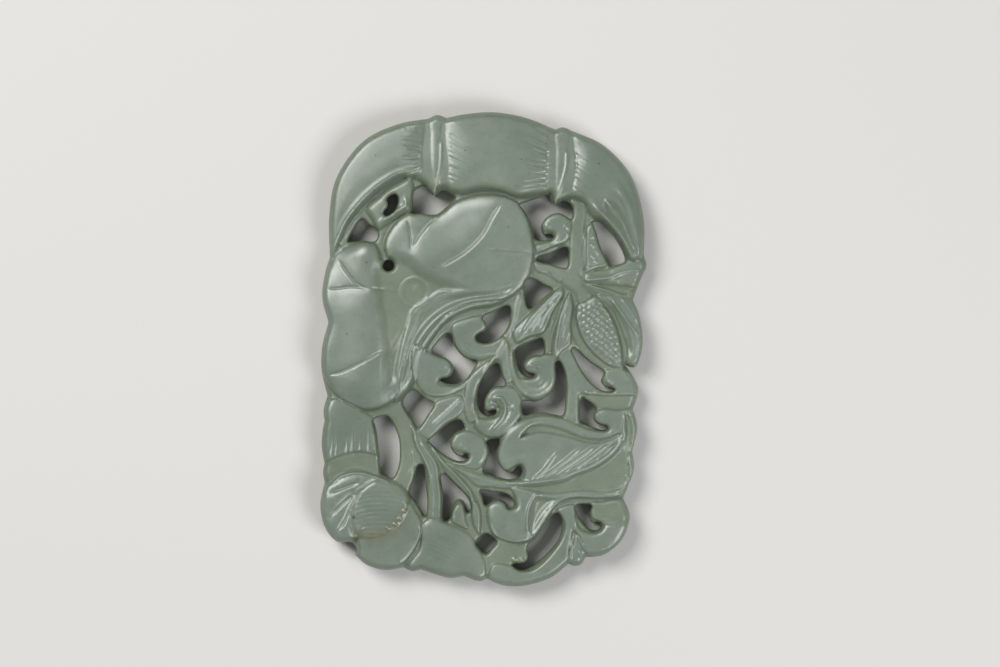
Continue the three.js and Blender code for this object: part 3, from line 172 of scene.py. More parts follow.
# The pierced openings, each a closed smooth curve through its points.
OPENINGS = {
    "under_root_tip": [(-20.45, 21.9), (-20, 21.85), (-19.15, 21), (-18, 20.3), (-17.65, 19.5),
        (-17.85, 18.55), (-18.4, 18.15), (-20, 18.3), (-21.7, 18.15), (-22.65, 18.15), (-22.5, 18.8),
        (-21.85, 20), (-21, 21.4)],
    "kidney": [(-14.7, 26.1), (-14.3, 25.7), (-14.2, 24.85), (-14.55, 23.7), (-15.3, 22.8), (-16.15, 22.45),
        (-16.65, 22.8), (-16.5, 23.3), (-16.05, 23.85), (-15.95, 24.55), (-16.1, 25.3), (-15.5, 25.9)],
    "under_first_ring": [(-11.55, 26.7), (-10.85, 27.3), (-9.85, 27.55), (-9, 26.7), (-8.15, 25.95),
        (-7.45, 26.55), (-6.55, 26.85), (-5.45, 26.3), (-4.65, 25.6), (-5.15, 24.85), (-6.45, 23.7),
        (-7.7, 22.8), (-8.6, 22.7), (-10.3, 22.9), (-11.8, 22.85), (-11.95, 23.5), (-11.85, 24.9)],
    "under_second_ring": [(6.3, 24.35), (7.45, 24.9), (9, 25.45), (10.9, 26), (11.65, 24.9), (12.2, 24.4),
        (12.8, 24.65), (13.55, 25.05), (14.3, 24.8), (15.1, 24.1), (15.2, 23.3), (15, 22), (14.65, 22),
        (13.85, 22.55), (12.75, 22.95), (11.45, 22.65), (10.45, 21.9), (9.9, 20.9), (10, 19.8),
        (10.5, 19.35), (11.4, 19.45), (11.95, 19), (11.65, 18.55), (10.5, 18.4), (9.3, 18.35),
        (8.75, 18.8), (8.45, 20.2), (7.9, 21.8), (7, 23.35)],
    "beside_stalk": [(9.1, 15.15), (9.5, 15.55), (10.75, 15.9), (12.1, 16.45), (13.2, 17.05), (14, 17.2),
        (14.45, 16.8), (14.5, 15.8), (14.3, 14), (14, 13.75), (12.75, 13.9), (11.2, 14.35), (9.65, 14.7)],
    "under_right_root": [(18.55, 21.35), (19.1, 21.55), (20.1, 21.25), (21.2, 20.25), (22.3, 18.9),
        (23.2, 17.45), (23.85, 16), (24.05, 15), (23.7, 14.6), (22.5, 14.25), (21.5, 14), (21.1, 14.5),
        (20.5, 15.8), (19.75, 17.6), (19.2, 19.5), (18.75, 20.7)],
    "wedge": [(7.35, 11.55), (8.1, 11.9), (9, 11.65), (10.3, 10.9), (11.55, 10.25), (11.6, 9.9),
        (11, 9.3), (9.9, 8.5), (8.75, 7.35), (8.1, 6.85), (7.55, 7.05), (7.2, 8.25), (7.1, 9.8)],
    "behind_hook": [(4.45, 7.3), (4.7, 6.7), (4.65, 5.4), (4.15, 3.7), (3.15, 2.3), (1.7, 1.3), (0.15, 1),
        (-1, 1.45), (-1.15, 2.15), (-0.5, 2.7), (0.3, 3), (0.65, 3.6), (0.55, 4.4), (0, 5.15), (0.2, 5.6),
        (1.45, 6.15), (2.85, 6.85), (3.7, 7.25)],
    "under_leaf_fold": [(-5.55, 2.7), (-5.2, 2.3), (-4.85, 0.85), (-4.15, -0.3), (-3.15, -1.3), (-2, -1.7),
        (-1.15, -1.8), (-0.95, -2.15), (-1.45, -3), (-2.15, -4.15), (-3.15, -5.3), (-4.3, -5.8),
        (-5.55, -5.85), (-6.55, -5.55), (-7.2, -5.1), (-6.7, -4.9), (-5.85, -4.75), (-5.15, -4.15),
        (-4.9, -3.3), (-5.3, -2.3), (-6.15, -1.55), (-7.4, -1.1), (-8.4, -0.6), (-8.45, -0.1), (-7.7, 1),
        (-6.7, 2.15), (-6, 2.65)],
    "kite": [(-11.6, -6.85), (-10.8, -7.3), (-9.5, -8.4), (-8.35, -9.15), (-8.35, -9.6), (-9.2, -10.9),
        (-10, -12.2), (-10.95, -13.2), (-12, -11.8), (-13.1, -10.1), (-13.5, -9.1), (-13.1, -8.1),
        (-12.3, -7.2)],
    "teardrop": [(2.5, -2.35), (2.9, -3), (3.3, -4.6), (3.8, -5.85), (3.5, -6.2), (2.7, -6.2), (1.7, -6.5),
        (0.85, -7.4), (0.3, -8.85), (0.35, -10), (0.85, -10.5), (1.55, -10.25), (2.15, -10.3),
        (2.2, -10.8), (1.55, -11.2), (0.55, -11.1), (-0.45, -10.3), (-0.9, -8.85), (-0.8, -7.15),
        (-0.15, -5.15), (0.85, -3.7), (1.7, -2.7)],
    "above_scroll": [(9.85, 1.85), (10.2, 1.55), (10.4, 0.3), (10.3, -0.6), (9.9, -0.95), (8.85, -1),
        (7.7, -1.45), (7, -2.3), (7, -3.3), (7.7, -4), (8.5, -4.15), (8.6, -4.45), (8, -4.7), (7, -4.3),
        (6.15, -3.45), (5.65, -2), (5.45, -0.3), (6, 0.3), (7.45, 1), (8.85, 1.55)],
    "below_scroll": [(12.4, -2.1), (13, -2.1), (13.5, -3), (13.95, -4.55), (14.05, -6.55), (13.95, -8.55),
        (13.8, -10.6), (13.4, -11.2), (12.3, -11.05), (10.3, -10.7), (8.55, -10.85), (7.15, -11.1),
        (6.7, -10.7), (6.55, -9.7), (6.7, -8.85), (7.45, -8.7), (8.85, -8.8), (10.3, -8.3), (11.4, -7.4),
        (12.15, -6.15), (12.35, -4.55), (12.25, -2.85)],
    "under_seed_pod": [(15.3, 0.2), (16.15, -0.3), (17.15, -1.3), (18.55, -2.45), (19.85, -3.3),
        (20.45, -3.9), (20.3, -4.55), (20, -5.3), (20.3, -6), (21.15, -6.4), (22, -6.55), (22.25, -6.85),
        (21.7, -7.15), (20.3, -7), (18.85, -6.15), (17.45, -4.7), (16.3, -2.85), (15.45, -1.15),
        (15.05, -0.1)],
    "above_leaf_tip": [(16.85, -8.15), (17.55, -8.55), (18.85, -9.55), (19.1, -10.2), (18.7, -11.15),
        (18.85, -12), (19.45, -12.55), (20.3, -12.8), (20.85, -12.85), (21, -13.3), (20.4, -13.65),
        (19.15, -13.35), (17.45, -12.7), (16.55, -12.3), (16.45, -10.85), (16.5, -8.85)],
    "slot": [(-18.15, -11.7), (-17.25, -11.35), (-16.2, -11.25), (-15.55, -11.75), (-14.75, -13.2),
        (-14.15, -14.95), (-13.95, -17), (-14.05, -19.05), (-14.5, -20.65), (-15.1, -21.65),
        (-15.6, -21.8), (-16.35, -21.45), (-17.15, -21), (-17.35, -20.2), (-17.45, -18.15),
        (-17.7, -15.65), (-18.15, -13.1), (-18.45, -12.1)],
    "arrowhead": [(-4.15, -11.85), (-3.55, -12.15), (-3.15, -12.85), (-3.1, -13.35), (-3.6, -13.6),
        (-4.45, -14), (-5.15, -14.7), (-5.45, -15.7), (-5.15, -17), (-4.3, -17.85), (-3.5, -18),
        (-2.95, -17.6), (-2.5, -17.85), (-2.45, -18.4), (-3, -18.85), (-4.15, -18.9), (-5.55, -18.4),
        (-7.45, -17.15), (-8.85, -15.85), (-9.15, -15.5), (-8.3, -14.7), (-6.85, -13.4), (-5.45, -12.3)],
    "stem_slit": [(-10.5, -19.4), (-9.95, -19.65), (-9.7, -20.9), (-9.6, -22.7), (-9.35, -25),
        (-9.35, -27.05), (-9.55, -28), (-9.95, -28.15), (-10.4, -27.3), (-11.1, -26.15), (-11.9, -25.1),
        (-12.35, -24.3), (-12.2, -23.4), (-11.65, -22), (-11.3, -20.65), (-10.95, -19.65)],
    "fork_gap": [(-6.85, -21.15), (-6.3, -21.05), (-5.6, -21.8), (-4.45, -22.95), (-3.3, -24.1),
        (-2.5, -25.1), (-2.05, -26.35), (-2.15, -27.3), (-2.6, -27.55), (-2.95, -27.1), (-3.15, -26.15),
        (-3.55, -25.45), (-4.1, -25.35), (-4.8, -25.9), (-5.15, -27.05), (-5.5, -28.4), (-6.05, -28.95),
        (-6.65, -28.7), (-6.75, -27.3), (-6.65, -25), (-6.95, -22.7), (-7.1, -21.7)],
    "anchor": [(0.65, -15.65), (1, -15.3), (2.1, -15.05), (2.75, -15.2), (2.75, -16.1), (2.45, -17),
        (2.4, -18.15), (2.7, -19.3), (3.4, -20.2), (4.3, -20.7), (5.1, -20.55), (5.55, -20), (6, -19.7),
        (6.55, -20), (6.65, -20.7), (6.25, -21.5), (5.3, -21.9), (4.2, -22), (3, -21.7), (1.4, -21.2),
        (0.3, -20.85), (0.1, -20.4), (0.5, -19.5), (1, -18.15), (1.1, -17), (0.85, -16.1)],
    "arch": [(-0.4, -23.8), (0.5, -23.8), (1.7, -24), (3, -24.1), (4.1, -24.45), (4.9, -25.1), (5.3, -26.05),
        (5.1, -26.65), (4.65, -26.9), (4.15, -26.75), (3.9, -26.2), (3.5, -25.7), (2.7, -25.4),
        (1.9, -25.5), (1.2, -25.9), (0.7, -26.3), (0.3, -26.1), (0, -25)],
    "lozenge": [(0.75, -31.05), (1.4, -31.4), (2.25, -32.2), (2.25, -32.7), (1.4, -33.7), (0.75, -34.45),
        (0.1, -34.3), (-1, -33.1), (-1.2, -32.65), (-0.6, -31.8), (0.1, -31.15)],
    "crescent": [(12.6, -27.6), (13.1, -28), (13.4, -28.9), (13.4, -30.3), (12.9, -31.9), (12, -33.3),
        (10.8, -34.6), (9.45, -35.9), (8.1, -36.8), (6.8, -37.3), (5.7, -37), (5, -36.3), (5.4, -36.1),
        (6.5, -36.1), (7.4, -35.7), (7.7, -34.9), (7.55, -33.7), (7.75, -32.95), (8.75, -32.1),
        (9.7, -31), (10.7, -29.4), (11.5, -28.2), (12.1, -27.75)],
    "comma": [(15.7, -26.5), (16.3, -26.15), (17.45, -26.1), (18.25, -26.2), (18.4, -26.5), (18.2, -27.2),
        (18.05, -27.9), (18.1, -28.7), (18.5, -29.2), (19.2, -29.1), (19.75, -29.25), (20, -29.8),
        (19.75, -30.4), (18.95, -30.6), (17.9, -30.3), (17, -29.5), (16.3, -28.45), (15.85, -27.4)],
}
CORD_HOLE_CENTRE = (-15.85, 14.1)
CORD_HOLE_RADIUS = 0.95
CORD_HOLE_PARTS = 30

# Runs of the root's edge that two of its forms share
LEFT_OUTSIDE = [(-25.2, 15.4), (-26.5, 20), (-25.7, 27.5), (-20.7, 35.4), (-14.2, 38.6)]
LEFT_INSIDE = [(-13.4, 28.9), (-15.6, 27.8), (-18, 26), (-20.4, 23.6), (-22.5, 20.8), (-23.9, 17.6)]
RIGHT_END = [(20.7, 34.9), (25.5, 29.4), (27.7, 21.8), (27.4, 17), (26.6, 15), (24.6, 14.8),
    (22.8, 18.4), (20.2, 21.3), (18.4, 22.2), (16.4, 24.9)]

# Swelling forms, in the order in which they are carved: level, foot, width of the step at the edge,
# reach of the swell, and the edge.
FORMS = {
    "root_base": (6.35, 4.6, 1.1, 2.4, [*LEFT_OUTSIDE, (-8.6, 40), (2, 40.6), (9.4, 39), (13.6, 37.9),
        *RIGHT_END, (14.6, 25.2), (12.4, 24.4), (11.2, 26.2), (8.5, 25.6), (5.9, 25.4), (3, 26.5),
        (0, 26.8), (-4, 26), (-6.6, 27), (-8.1, 25.8), (-9.8, 27.6), (-11.5, 28.6), *LEFT_INSIDE]),
    "left_root": (ROOT, 5.0, 1.1, 4, [*LEFT_OUTSIDE, (-9.5, 39.8), (-9.5, 33), (-9.7, 29.4),
        (-11.5, 28.7), *LEFT_INSIDE]),
    "middle_root": (ROOT, 5.0, 1.1, 5, [(-6.3, 39.6), (-2, 40.5), (2, 40.6), (7.4, 39.6), (11.5, 38),
        (11.5, 33), (11.3, 29), (11.3, 26.4), (8.5, 25.8), (5.9, 25.5), (3, 26.5), (0, 26.8), (-4, 26.2),
        (-6.2, 27), (-6.4, 31)]),
    "right_root": (ROOT, 5.0, 1.1, 4, [(15, 37.4), *RIGHT_END, (14.6, 25.6), (15.1, 31)]),
    "first_ring": (6.45, 5.9, 0.7, 1.2, [(-9, 39.9), (-9.05, 36), (-9, 32), (-8.7, 29), (-8.1, 25.9),
        (-7.5, 27.6), (-6.9, 31), (-6.7, 35), (-6.7, 39.9)]),
    "second_ring": (6.45, 5.9, 0.7, 1.2, [(12.1, 37.8), (12, 33), (11.9, 29.4), (12.2, 24.4), (13.1, 26),
        (14.2, 29.4), (14.7, 33), (14.8, 37.8)]),
    "leaf_bank": (LEAF, 4.3, 1.7, 2.3, [(6, 9.4), (4.2, 8), (1.6, 6.9), (-1.6, 6.5), (-4, 5.5),
        (-6, 4.1), (-7.6, 2.3), (-9, 0.1), (-9.9, -2.2), (-10.8, -5), (-12.2, -7.4), (-14.6, -9.2),
        (-15.6, -8), (-13.4, -5), (-12.2, -2), (-10.8, 1), (-8.6, 4), (-6, 6.4), (-2, 8), (3, 8.9)]),
    "leaf": (LEAF, SUNK, 0.5, 2.6, [(-25.9, 14.4), (-24.8, 16.3), (-22, 17.8), (-20, 18.3), (-18.2, 18),
        (-17.3, 16.8), (-16.9, 15.2), (-16.3, 15.4), (-16.7, 17), (-16.5, 18.6), (-15.8, 20.1),
        (-14.7, 21.5), (-13.4, 22.6), (-12, 23.1), (-10.2, 23.1), (-8.2, 22.6), (-6.8, 23.3), (-4.6, 25),
        (-2.4, 25.8), (0, 26.2), (3.2, 26), (5.9, 24.9), (7.6, 22.4), (8.5, 19.2), (8.8, 16.2), (8.3, 13),
        (7.1, 10.6), (5, 8.8), (2.9, 7.9), (0, 7.8), (-2.4, 7.5), (-4.6, 6.6), (-6.8, 5.2), (-8.6, 3.4),
        (-10.2, 1.2), (-11.3, -1.4), (-12, -4.2), (-12.9, -6.4), (-14.4, -8.4), (-16.6, -9.8),
        (-19.2, -10.4), (-21.8, -9.9), (-24.2, -8.3), (-26, -5.9), (-27.4, -3.6), (-27.4, 0),
        (-26.3, 4.6), (-27.3, 8.6), (-26.9, 12.8)]),
    "kidney_curl": (5.7, 4.9, 0.8, 1.4, [(-19.6, 23.6), (-18.6, 21.8), (-17.6, 20.2), (-15, 21.7),
        (-13.2, 22.9), (-12, 23.4), (-12, 28.9), (-14.2, 28), (-15.6, 27.2), (-17.4, 25.8)]),
    "stalk": (5.05, 4.5, 0.7, 1.0, [(14.8, 25.4), (17.5, 24.2), (17.25, 20), (17, 16), (16.8, 12.2),
        (14, 12.6), (13.8, 14.6), (14.3, 17), (14.6, 20)]),
    "side_curl": (PETAL, SUNK, 0.5, 1.6, [(9.7, 21), (10.6, 22.5), (12.6, 23.3), (14.9, 22.3), (15, 19),
        (13.8, 17.6), (11.6, 17), (9, 16), (8.7, 17.6), (11.4, 18.5), (11.9, 19.5), (10.2, 19.8)]),
    "rough_petal": (PETAL, SUNK, 0.4, 1.0, [(17.4, 20.8), (18.8, 21.4), (19.9, 17.2), (21.2, 14.2),
        (19.6, 13.5), (17.3, 12.7)]),
    "left_petal": (SCROLL, SUNK, 0.4, 1.2, [(8.4, 14.8), (9, 12.9), (11, 12.6), (13.1, 11.2), (14.2, 13.8),
        (9.6, 14.9)]),
    "flower_heart": (5.15, 4.6, 0.9, 1.2, [(12.9, 13.4), (15.2, 14), (17, 12.2), (17.3, 11), (18.6, 9.3),
        (17.7, 7.6), (16.1, 7.4), (15.4, 9.2), (14.5, 9.9), (13.1, 11)]),
    "side_petal": (PETAL, SUNK, 0.5, 2, [(16.9, 11.3), (17, 12.8), (21.4, 13.7), (27.7, 15.4), (28, 13.6),
        (26.4, 10.6), (23, 10.4), (20, 10.6)]),
    "lower_side_petal": (SCROLL, SUNK, 0.5, 2, [(17.1, 11.1), (20.2, 10.6), (24.2, 9.6), (26.4, 11),
        (25.6, 8), (22, 8.6), (18.9, 9.2)]),
    "long_petal": (PETAL, SUNK, 0.5, 1.6, [(18.9, 9.2), (25.5, 8.5), (27.1, 5.4), (27.4, 0.6),
        (25.6, -3.5), (24.2, -2.7), (24, 0.6), (23.2, 3.2), (21.6, 6.4)]),
    "slant_petal": (PETAL, SUNK, 0.5, 1.4, [(13.2, 10.7), (11.5, 9.4), (9.2, 7.4), (6.9, 5.4), (4.9, 3),
        (5.6, 0.9), (8, 1.9), (10.4, 2.6), (12, 6), (13.9, 9.6)]),
    "upright": (5.05, 4.5, 0.7, 1.1, [(13.6, 2.6), (15.4, 2.2), (17.4, -3.6), (19.6, -6.4), (18, -7.8),
        (16.4, -7.8), (16.3, -12.6), (13.6, -11.8), (13.9, -7), (13.4, -3.6), (12.6, -1.6)]),
    "low_petal": (PETAL, SUNK, 0.5, 1.2, [(14.6, 9.9), (12.9, 6), (11.6, 2), (11.5, -1), (12.4, -1.8),
        (13.6, -0.6), (15.2, 0.8), (15.1, 4), (15.4, 8)]),
    "right_pod": (POD, SUNK, 0.45, 2.6, [(15.7, 7.6), (15.6, 5.2), (16.2, 3), (17.2, 0.9), (19.5, -1.6),
        (21.6, -3.1), (23.6, -3.8), (23.7, -1), (23.3, 1.6), (22.4, 4.4), (21, 7), (19.1, 9.2),
        (17.2, 8.4)]),
    "hook": (SCROLL, SUNK, 0.5, 1.5, [(-5.4, 4.2), (-3, 5.4), (0, 5.8), (1.2, 4), (0.2, 2.6), (3.4, 2.4),
        (4.4, 1.6), (3.2, -0.8), (1, -1.8), (-1.2, -2.1), (-3.6, -1.2), (-5, 1.2)]),
    "left_hook": (SCROLL, SUNK, 0.6, 1.6, [(-11.6, 0.8), (-9.6, 0), (-8, -0.7), (-5.5, -1.7), (-4.8, -3.4),
        (-5.6, -4.9), (-7.2, -5.5), (-4.6, -5.9), (-1.9, -4.2), (-2.4, -6.2), (-4.4, -7.7), (-7.2, -8.3),
        (-10, -7.6), (-11.5, -5.4)]),
    "loop_band": (SCROLL, SUNK, 0.5, 1.4, [(4.1, 1.8), (1.8, -1), (0, -2.2), (-2.4, -4.4), (-3.3, -7),
        (-3.4, -10), (-2.4, -12.6), (-0.4, -11.6), (-1.2, -9), (-0.6, -6.4), (1, -3.8), (2.6, -2),
        (3, -3.8), (3.8, -6.2), (5.4, -5.2), (5.2, -1.6)]),
    "comma_scroll": (PETAL, SUNK, 0.5, 1.8, [(4.9, 0.6), (4.4, -2.4), (4.8, -5.4), (6.4, -7.8), (9, -8.8),
        (11.4, -8.2), (12.7, -6), (12.9, -2.6), (12.2, -1), (10.4, -0.5), (8.2, -0.9), (6.7, -2.6),
        (7.4, -4), (8.8, -4.4), (6.4, -4.6)]),
    "ring_scroll": (PETAL, SUNK, 0.5, 1.6, [(3.9, -5.9), (1.6, -6.2), (-0.1, -8), (0.1, -10.3), (1.7, -10.5),
        (2.6, -9.8), (2.4, -11), (0.8, -11.5), (-1.2, -11.4), (-1.6, -13), (0.4, -14.8), (3, -14.9),
        (5.4, -13), (7, -10.6), (6.7, -8), (5.6, -6.4)]),
    "little_leaf": (SCROLL, STEM, 0.4, 1.2, [(-11, -13.8), (-8.2, -9), (-6.4, -8.1), (-3.3, -7.9),
        (-3.2, -10.4), (-4.4, -11.6), (-6.4, -12.8), (-9, -15.2)]),
    "arrowhead_knob": (SCROLL, SUNK, 0.45, 1.3, [(-5.6, -16.4), (-4.9, -14.3), (-2.6, -13.5), (0.2, -14.8),
        (1.2, -17.4), (0.6, -19.2), (-0.8, -20.4), (-3, -20.2), (-6.4, -18.2), (-4, -18.9), (-2.4, -17.8),
        (-4, -17.4)]),
    "arrow_leaf": (PETAL, SUNK, 0.42, 1.4, [(2.7, -16), (3.8, -13.6), (6, -11.9), (9.6, -11), (13.4, -11.4),
        (18.4, -13.4), (21, -13.4), (18.6, -12), (18.7, -10.6), (20.2, -9.8), (23, -10), (24.6, -9.8),
        (26.3, -11), (26.3, -15), (25.5, -17.4), (25.9, -20), (25, -23.6), (23.4, -24.7), (20, -25.1),
        (14.6, -25.2), (12.6, -26.2), (10.4, -29.4), (8.2, -32.3), (6, -32.7), (3.4, -32.2), (1.4, -31),
        (0.7, -29), (0.8, -26), (3, -25.2), (5.4, -26.4), (4.6, -23.6), (2, -22.7), (3, -21.9),
        (6.6, -21.5), (6.4, -19.6), (3.7, -20.6), (2.4, -18.4)]),
    "leaf_stem": (SCROLL, SUNK, 0.45, 1.0, [(-7.6, -18.2), (-4, -19.6), (-0.6, -20.7), (3.4, -21.8),
        (6, -22.4), (4.8, -23.6), (1.4, -23.4), (-1, -23.2), (-3, -21.6)]),
    "branch": (5.1, 4.4, 0.7, 1.3, [(17, -5), (19.6, -6.3), (21.6, -6.6), (20, -5.2), (20.2, -3.4),
        (22.4, -2.9), (24.6, -3.4), (26.4, -6), (26.3, -7.6), (22, -7.7), (18.4, -7.6)]),
    "corner_disc": (PETAL, SUNK, 0.5, 1.2, [(18, -25.6), (20, -25.4), (23.7, -25.1), (25.2, -28),
        (23.9, -32.2), (20.4, -35), (17, -34.4), (15.6, -31.2), (14, -29.4), (15.4, -27.6), (16.6, -30),
        (18.8, -30.6), (20.1, -29.6), (18.2, -28.4)]),
    "bud": (SCROLL, SUNK, 0.4, 0.8, [(15.7, -30.8), (17.2, -33.2), (17.6, -35.2), (16, -36.8),
        (14.2, -36.2), (14.8, -33.4)]),
    "crescent_stem": (SCROLL, SUNK, 0.5, 1.0, [(12.4, -26.8), (15.6, -26), (15.4, -30.8), (14.9, -33.4),
        (14.4, -36.3), (11.4, -38.9), (5.8, -40.3), (1, -39.2), (1.6, -36), (4.8, -36.2), (8, -37),
        (12, -33.4), (13.6, -29.6)]),
    "stem_collar": (SCROLL, SUNK, 0.5, 2.4, [(-27, -9.6), (-25, -8), (-19, -10.8), (-18, -11.6),
        (-17.9, -14), (-17.5, -17.9), (-20.5, -17.5), (-23, -17.9), (-24.6, -18.4), (-27.6, -19.4),
        (-27.6, -14)]),
    "under_petal": (PETAL, SUNK, 0.5, 2, [(-21.4, -33.4), (-20.8, -30.6), (-17, -29), (-14, -26),
        (-12.2, -25.6), (-11, -27.2), (-10, -29.2), (-10.2, -31.4), (-11.3, -33.9), (-13, -36.2),
        (-13.6, -37.4), (-16.6, -37.9), (-20.8, -36.6), (-22, -35)]),
    "main_stem": (SCROLL, 4.6, 0.6, 1.0, [(-12, -12.8), (-9.4, -15.6), (-7.1, -20), (-6.9, -28.6),
        (-9.4, -28.4), (-9.4, -21), (-10.2, -18.8), (-11.6, -15.8)]),
    "fork_stem": (SCROLL, 4.6, 0.6, 1.0, [(-9, -15.6), (-6, -19.2), (-2.4, -22.8), (-0.6, -26.4),
        (-1.6, -27), (-2.8, -24.8), (-6, -21.4), (-7.4, -19)]),
    "domed_petal": (LEAF, SUNK, 0.5, 3.2, [(-27.4, -23), (-25.6, -22.3), (-24, -21), (-22, -20.4),
        (-20, -20.4), (-18.4, -20.9), (-15.4, -22.1), (-14, -23.6), (-16, -25.6), (-18.6, -28.6),
        (-20.6, -31.4), (-22.8, -32.6), (-23.6, -32.8), (-26.2, -31.4), (-28, -26.6)]),
    "left_pod": (POD, 4.9, 0.9, 4, [(-22, -26.8), (-20.6, -23.8), (-17.6, -22), (-14.4, -22.4),
        (-12.4, -24.6), (-12.3, -27.4), (-13.6, -29.6), (-16, -31.4), (-19.4, -32.2), (-21.6, -31.4)]),
    "low_leaf": (SCROLL, SUNK, 0.45, 1.6, [(-10.2, -29), (-8.6, -28.2), (-5.6, -29.2), (-2.6, -30.6),
        (-0.6, -33), (0.5, -36), (0.6, -39.4), (-3.4, -38.9), (-8.4, -38.2), (-12.4, -38), (-12.6, -36.2),
        (-10.8, -33.4)]),
    "tuft": (SCROLL, SUNK, 0.5, 0.9, [(-5.4, -29), (-5.1, -26.8), (-4, -25.5), (-3, -26.2),
        (-2.6, -28.6), (-2.2, -30.4), (-4, -30)]),
    "little_bud": (PETAL, SUNK, 0.4, 0.7, [(-1.7, -25.4), (-0.8, -25.6), (-0.1, -28), (-0.5, -31.3),
        (-1.3, -30.4), (-2, -28)]),
}

# Hollows: level, reach of the fall, and the edge.
HOLLOWS = {
    "leaf_bowl": (5.4, 2.4, [(-18.6, 14.6), (-13.4, 16.6), (-8.6, 13.6), (-4, 11.6), (-1.5, 10.2),
        (-4.4, 8.8), (-7.4, 7.2), (-10, 4.6), (-11.8, 1), (-12.8, -2.4), (-14, -6), (-16.4, -6.8),
        (-17.4, -1), (-17.9, 4), (-18.8, 9)]),
    "fold_trough": (5.25, 1.3, [(5.6, 11), (2, 10.1), (-2, 9.9), (-6, 9.4), (-9, 8.1), (-11.4, 6.7),
        (-12.2, 4), (-13, 1.2), (-13.7, -2), (-14.4, -5.6), (-14.2, -7.4), (-13, -5.6), (-12.3, -3),
        (-11.8, -1), (-10.8, 1), (-9.4, 2.9), (-7.8, 4.7), (-5.8, 6.1), (-3.6, 7), (-1, 7.9), (2, 8.5),
        (4.4, 9.4)]),
    "fold_band": (4.85, 0.35, [(6.1, -15), (7, -13.7), (8.3, -12.7), (10, -12.5), (13, -13.1),
        (17, -14.6), (20, -14.9), (22.2, -14.2), (23.3, -13.9), (23.4, -14.3), (21.4, -15.5), (19.4, -16),
        (17.4, -15.9), (14.6, -15.1), (11.6, -14.4), (9, -14.3)]),
    "leaf_underside": (4.95, 0.5, [(4.6, -23), (8.5, -22.7), (12, -22.3), (14, -21.9), (15.6, -21),
        (18.6, -19.9), (21, -18.4), (22.8, -16.6), (23.8, -15), (24, -17.4), (24.9, -19.4), (24.8, -21.6),
        (23.4, -23.6), (20, -24.4), (17.4, -24.1), (14.6, -24.3), (12, -24.6), (8.8, -24.2)]),
    "turned_tip": (4.95, 1.1, [(9.8, -24.6), (8.6, -25.2), (8, -26.8), (7.8, -28.6), (7.8, -30.6),
        (8.3, -31.2), (9.2, -29.4), (10.4, -27.6), (12, -25.9), (12.6, -25)]),
    "hook_band": (4.9, 0.5, [(24, -10.6), (24.9, -11.2), (25.4, -13), (25.3, -15.4), (25, -18),
        (24.4, -19.5), (23.2, -18.4), (23.6, -16), (23.9, -14.6)]),
    "arch_band": (4.65, 0.5, [(-26.2, -19.3), (-24.6, -18.7), (-22, -18.1), (-20.4, -17.9), (-17.4, -18.2),
        (-17.4, -20.9), (-18.6, -20.6), (-21, -20), (-23.4, -20.6), (-26, -22)]),
    "cord_pit": (5.0, 0.7, [(-17, 15.2), (-16, 15.9), (-14.9, 15.6), (-14.3, 14.4), (-14.7, 13.2),
        (-16.2, 12.8)]),
    "disc_upper": (5.38, 0.5, [(18.6, -26.2), (20.6, -25.8), (23.6, -25.8), (24.6, -28), (24.5, -29.2),
        (22.6, -29.4), (20, -29.4), (18.5, -28.4)]),
    "root_facet": (6.05, 1.3, [(20.4, 25.4), (22.6, 24.8), (24.2, 22.4), (25.1, 19), (25.6, 16.2),
        (24.6, 17.4), (22.8, 20.2), (20.6, 22.6)]),
    "twisted_tip": (5.0, 0.4, [(21.8, 12), (23.2, 12.5), (24.6, 12.9), (26.4, 12.8), (24.8, 12),
        (23.2, 11.7)]),
}

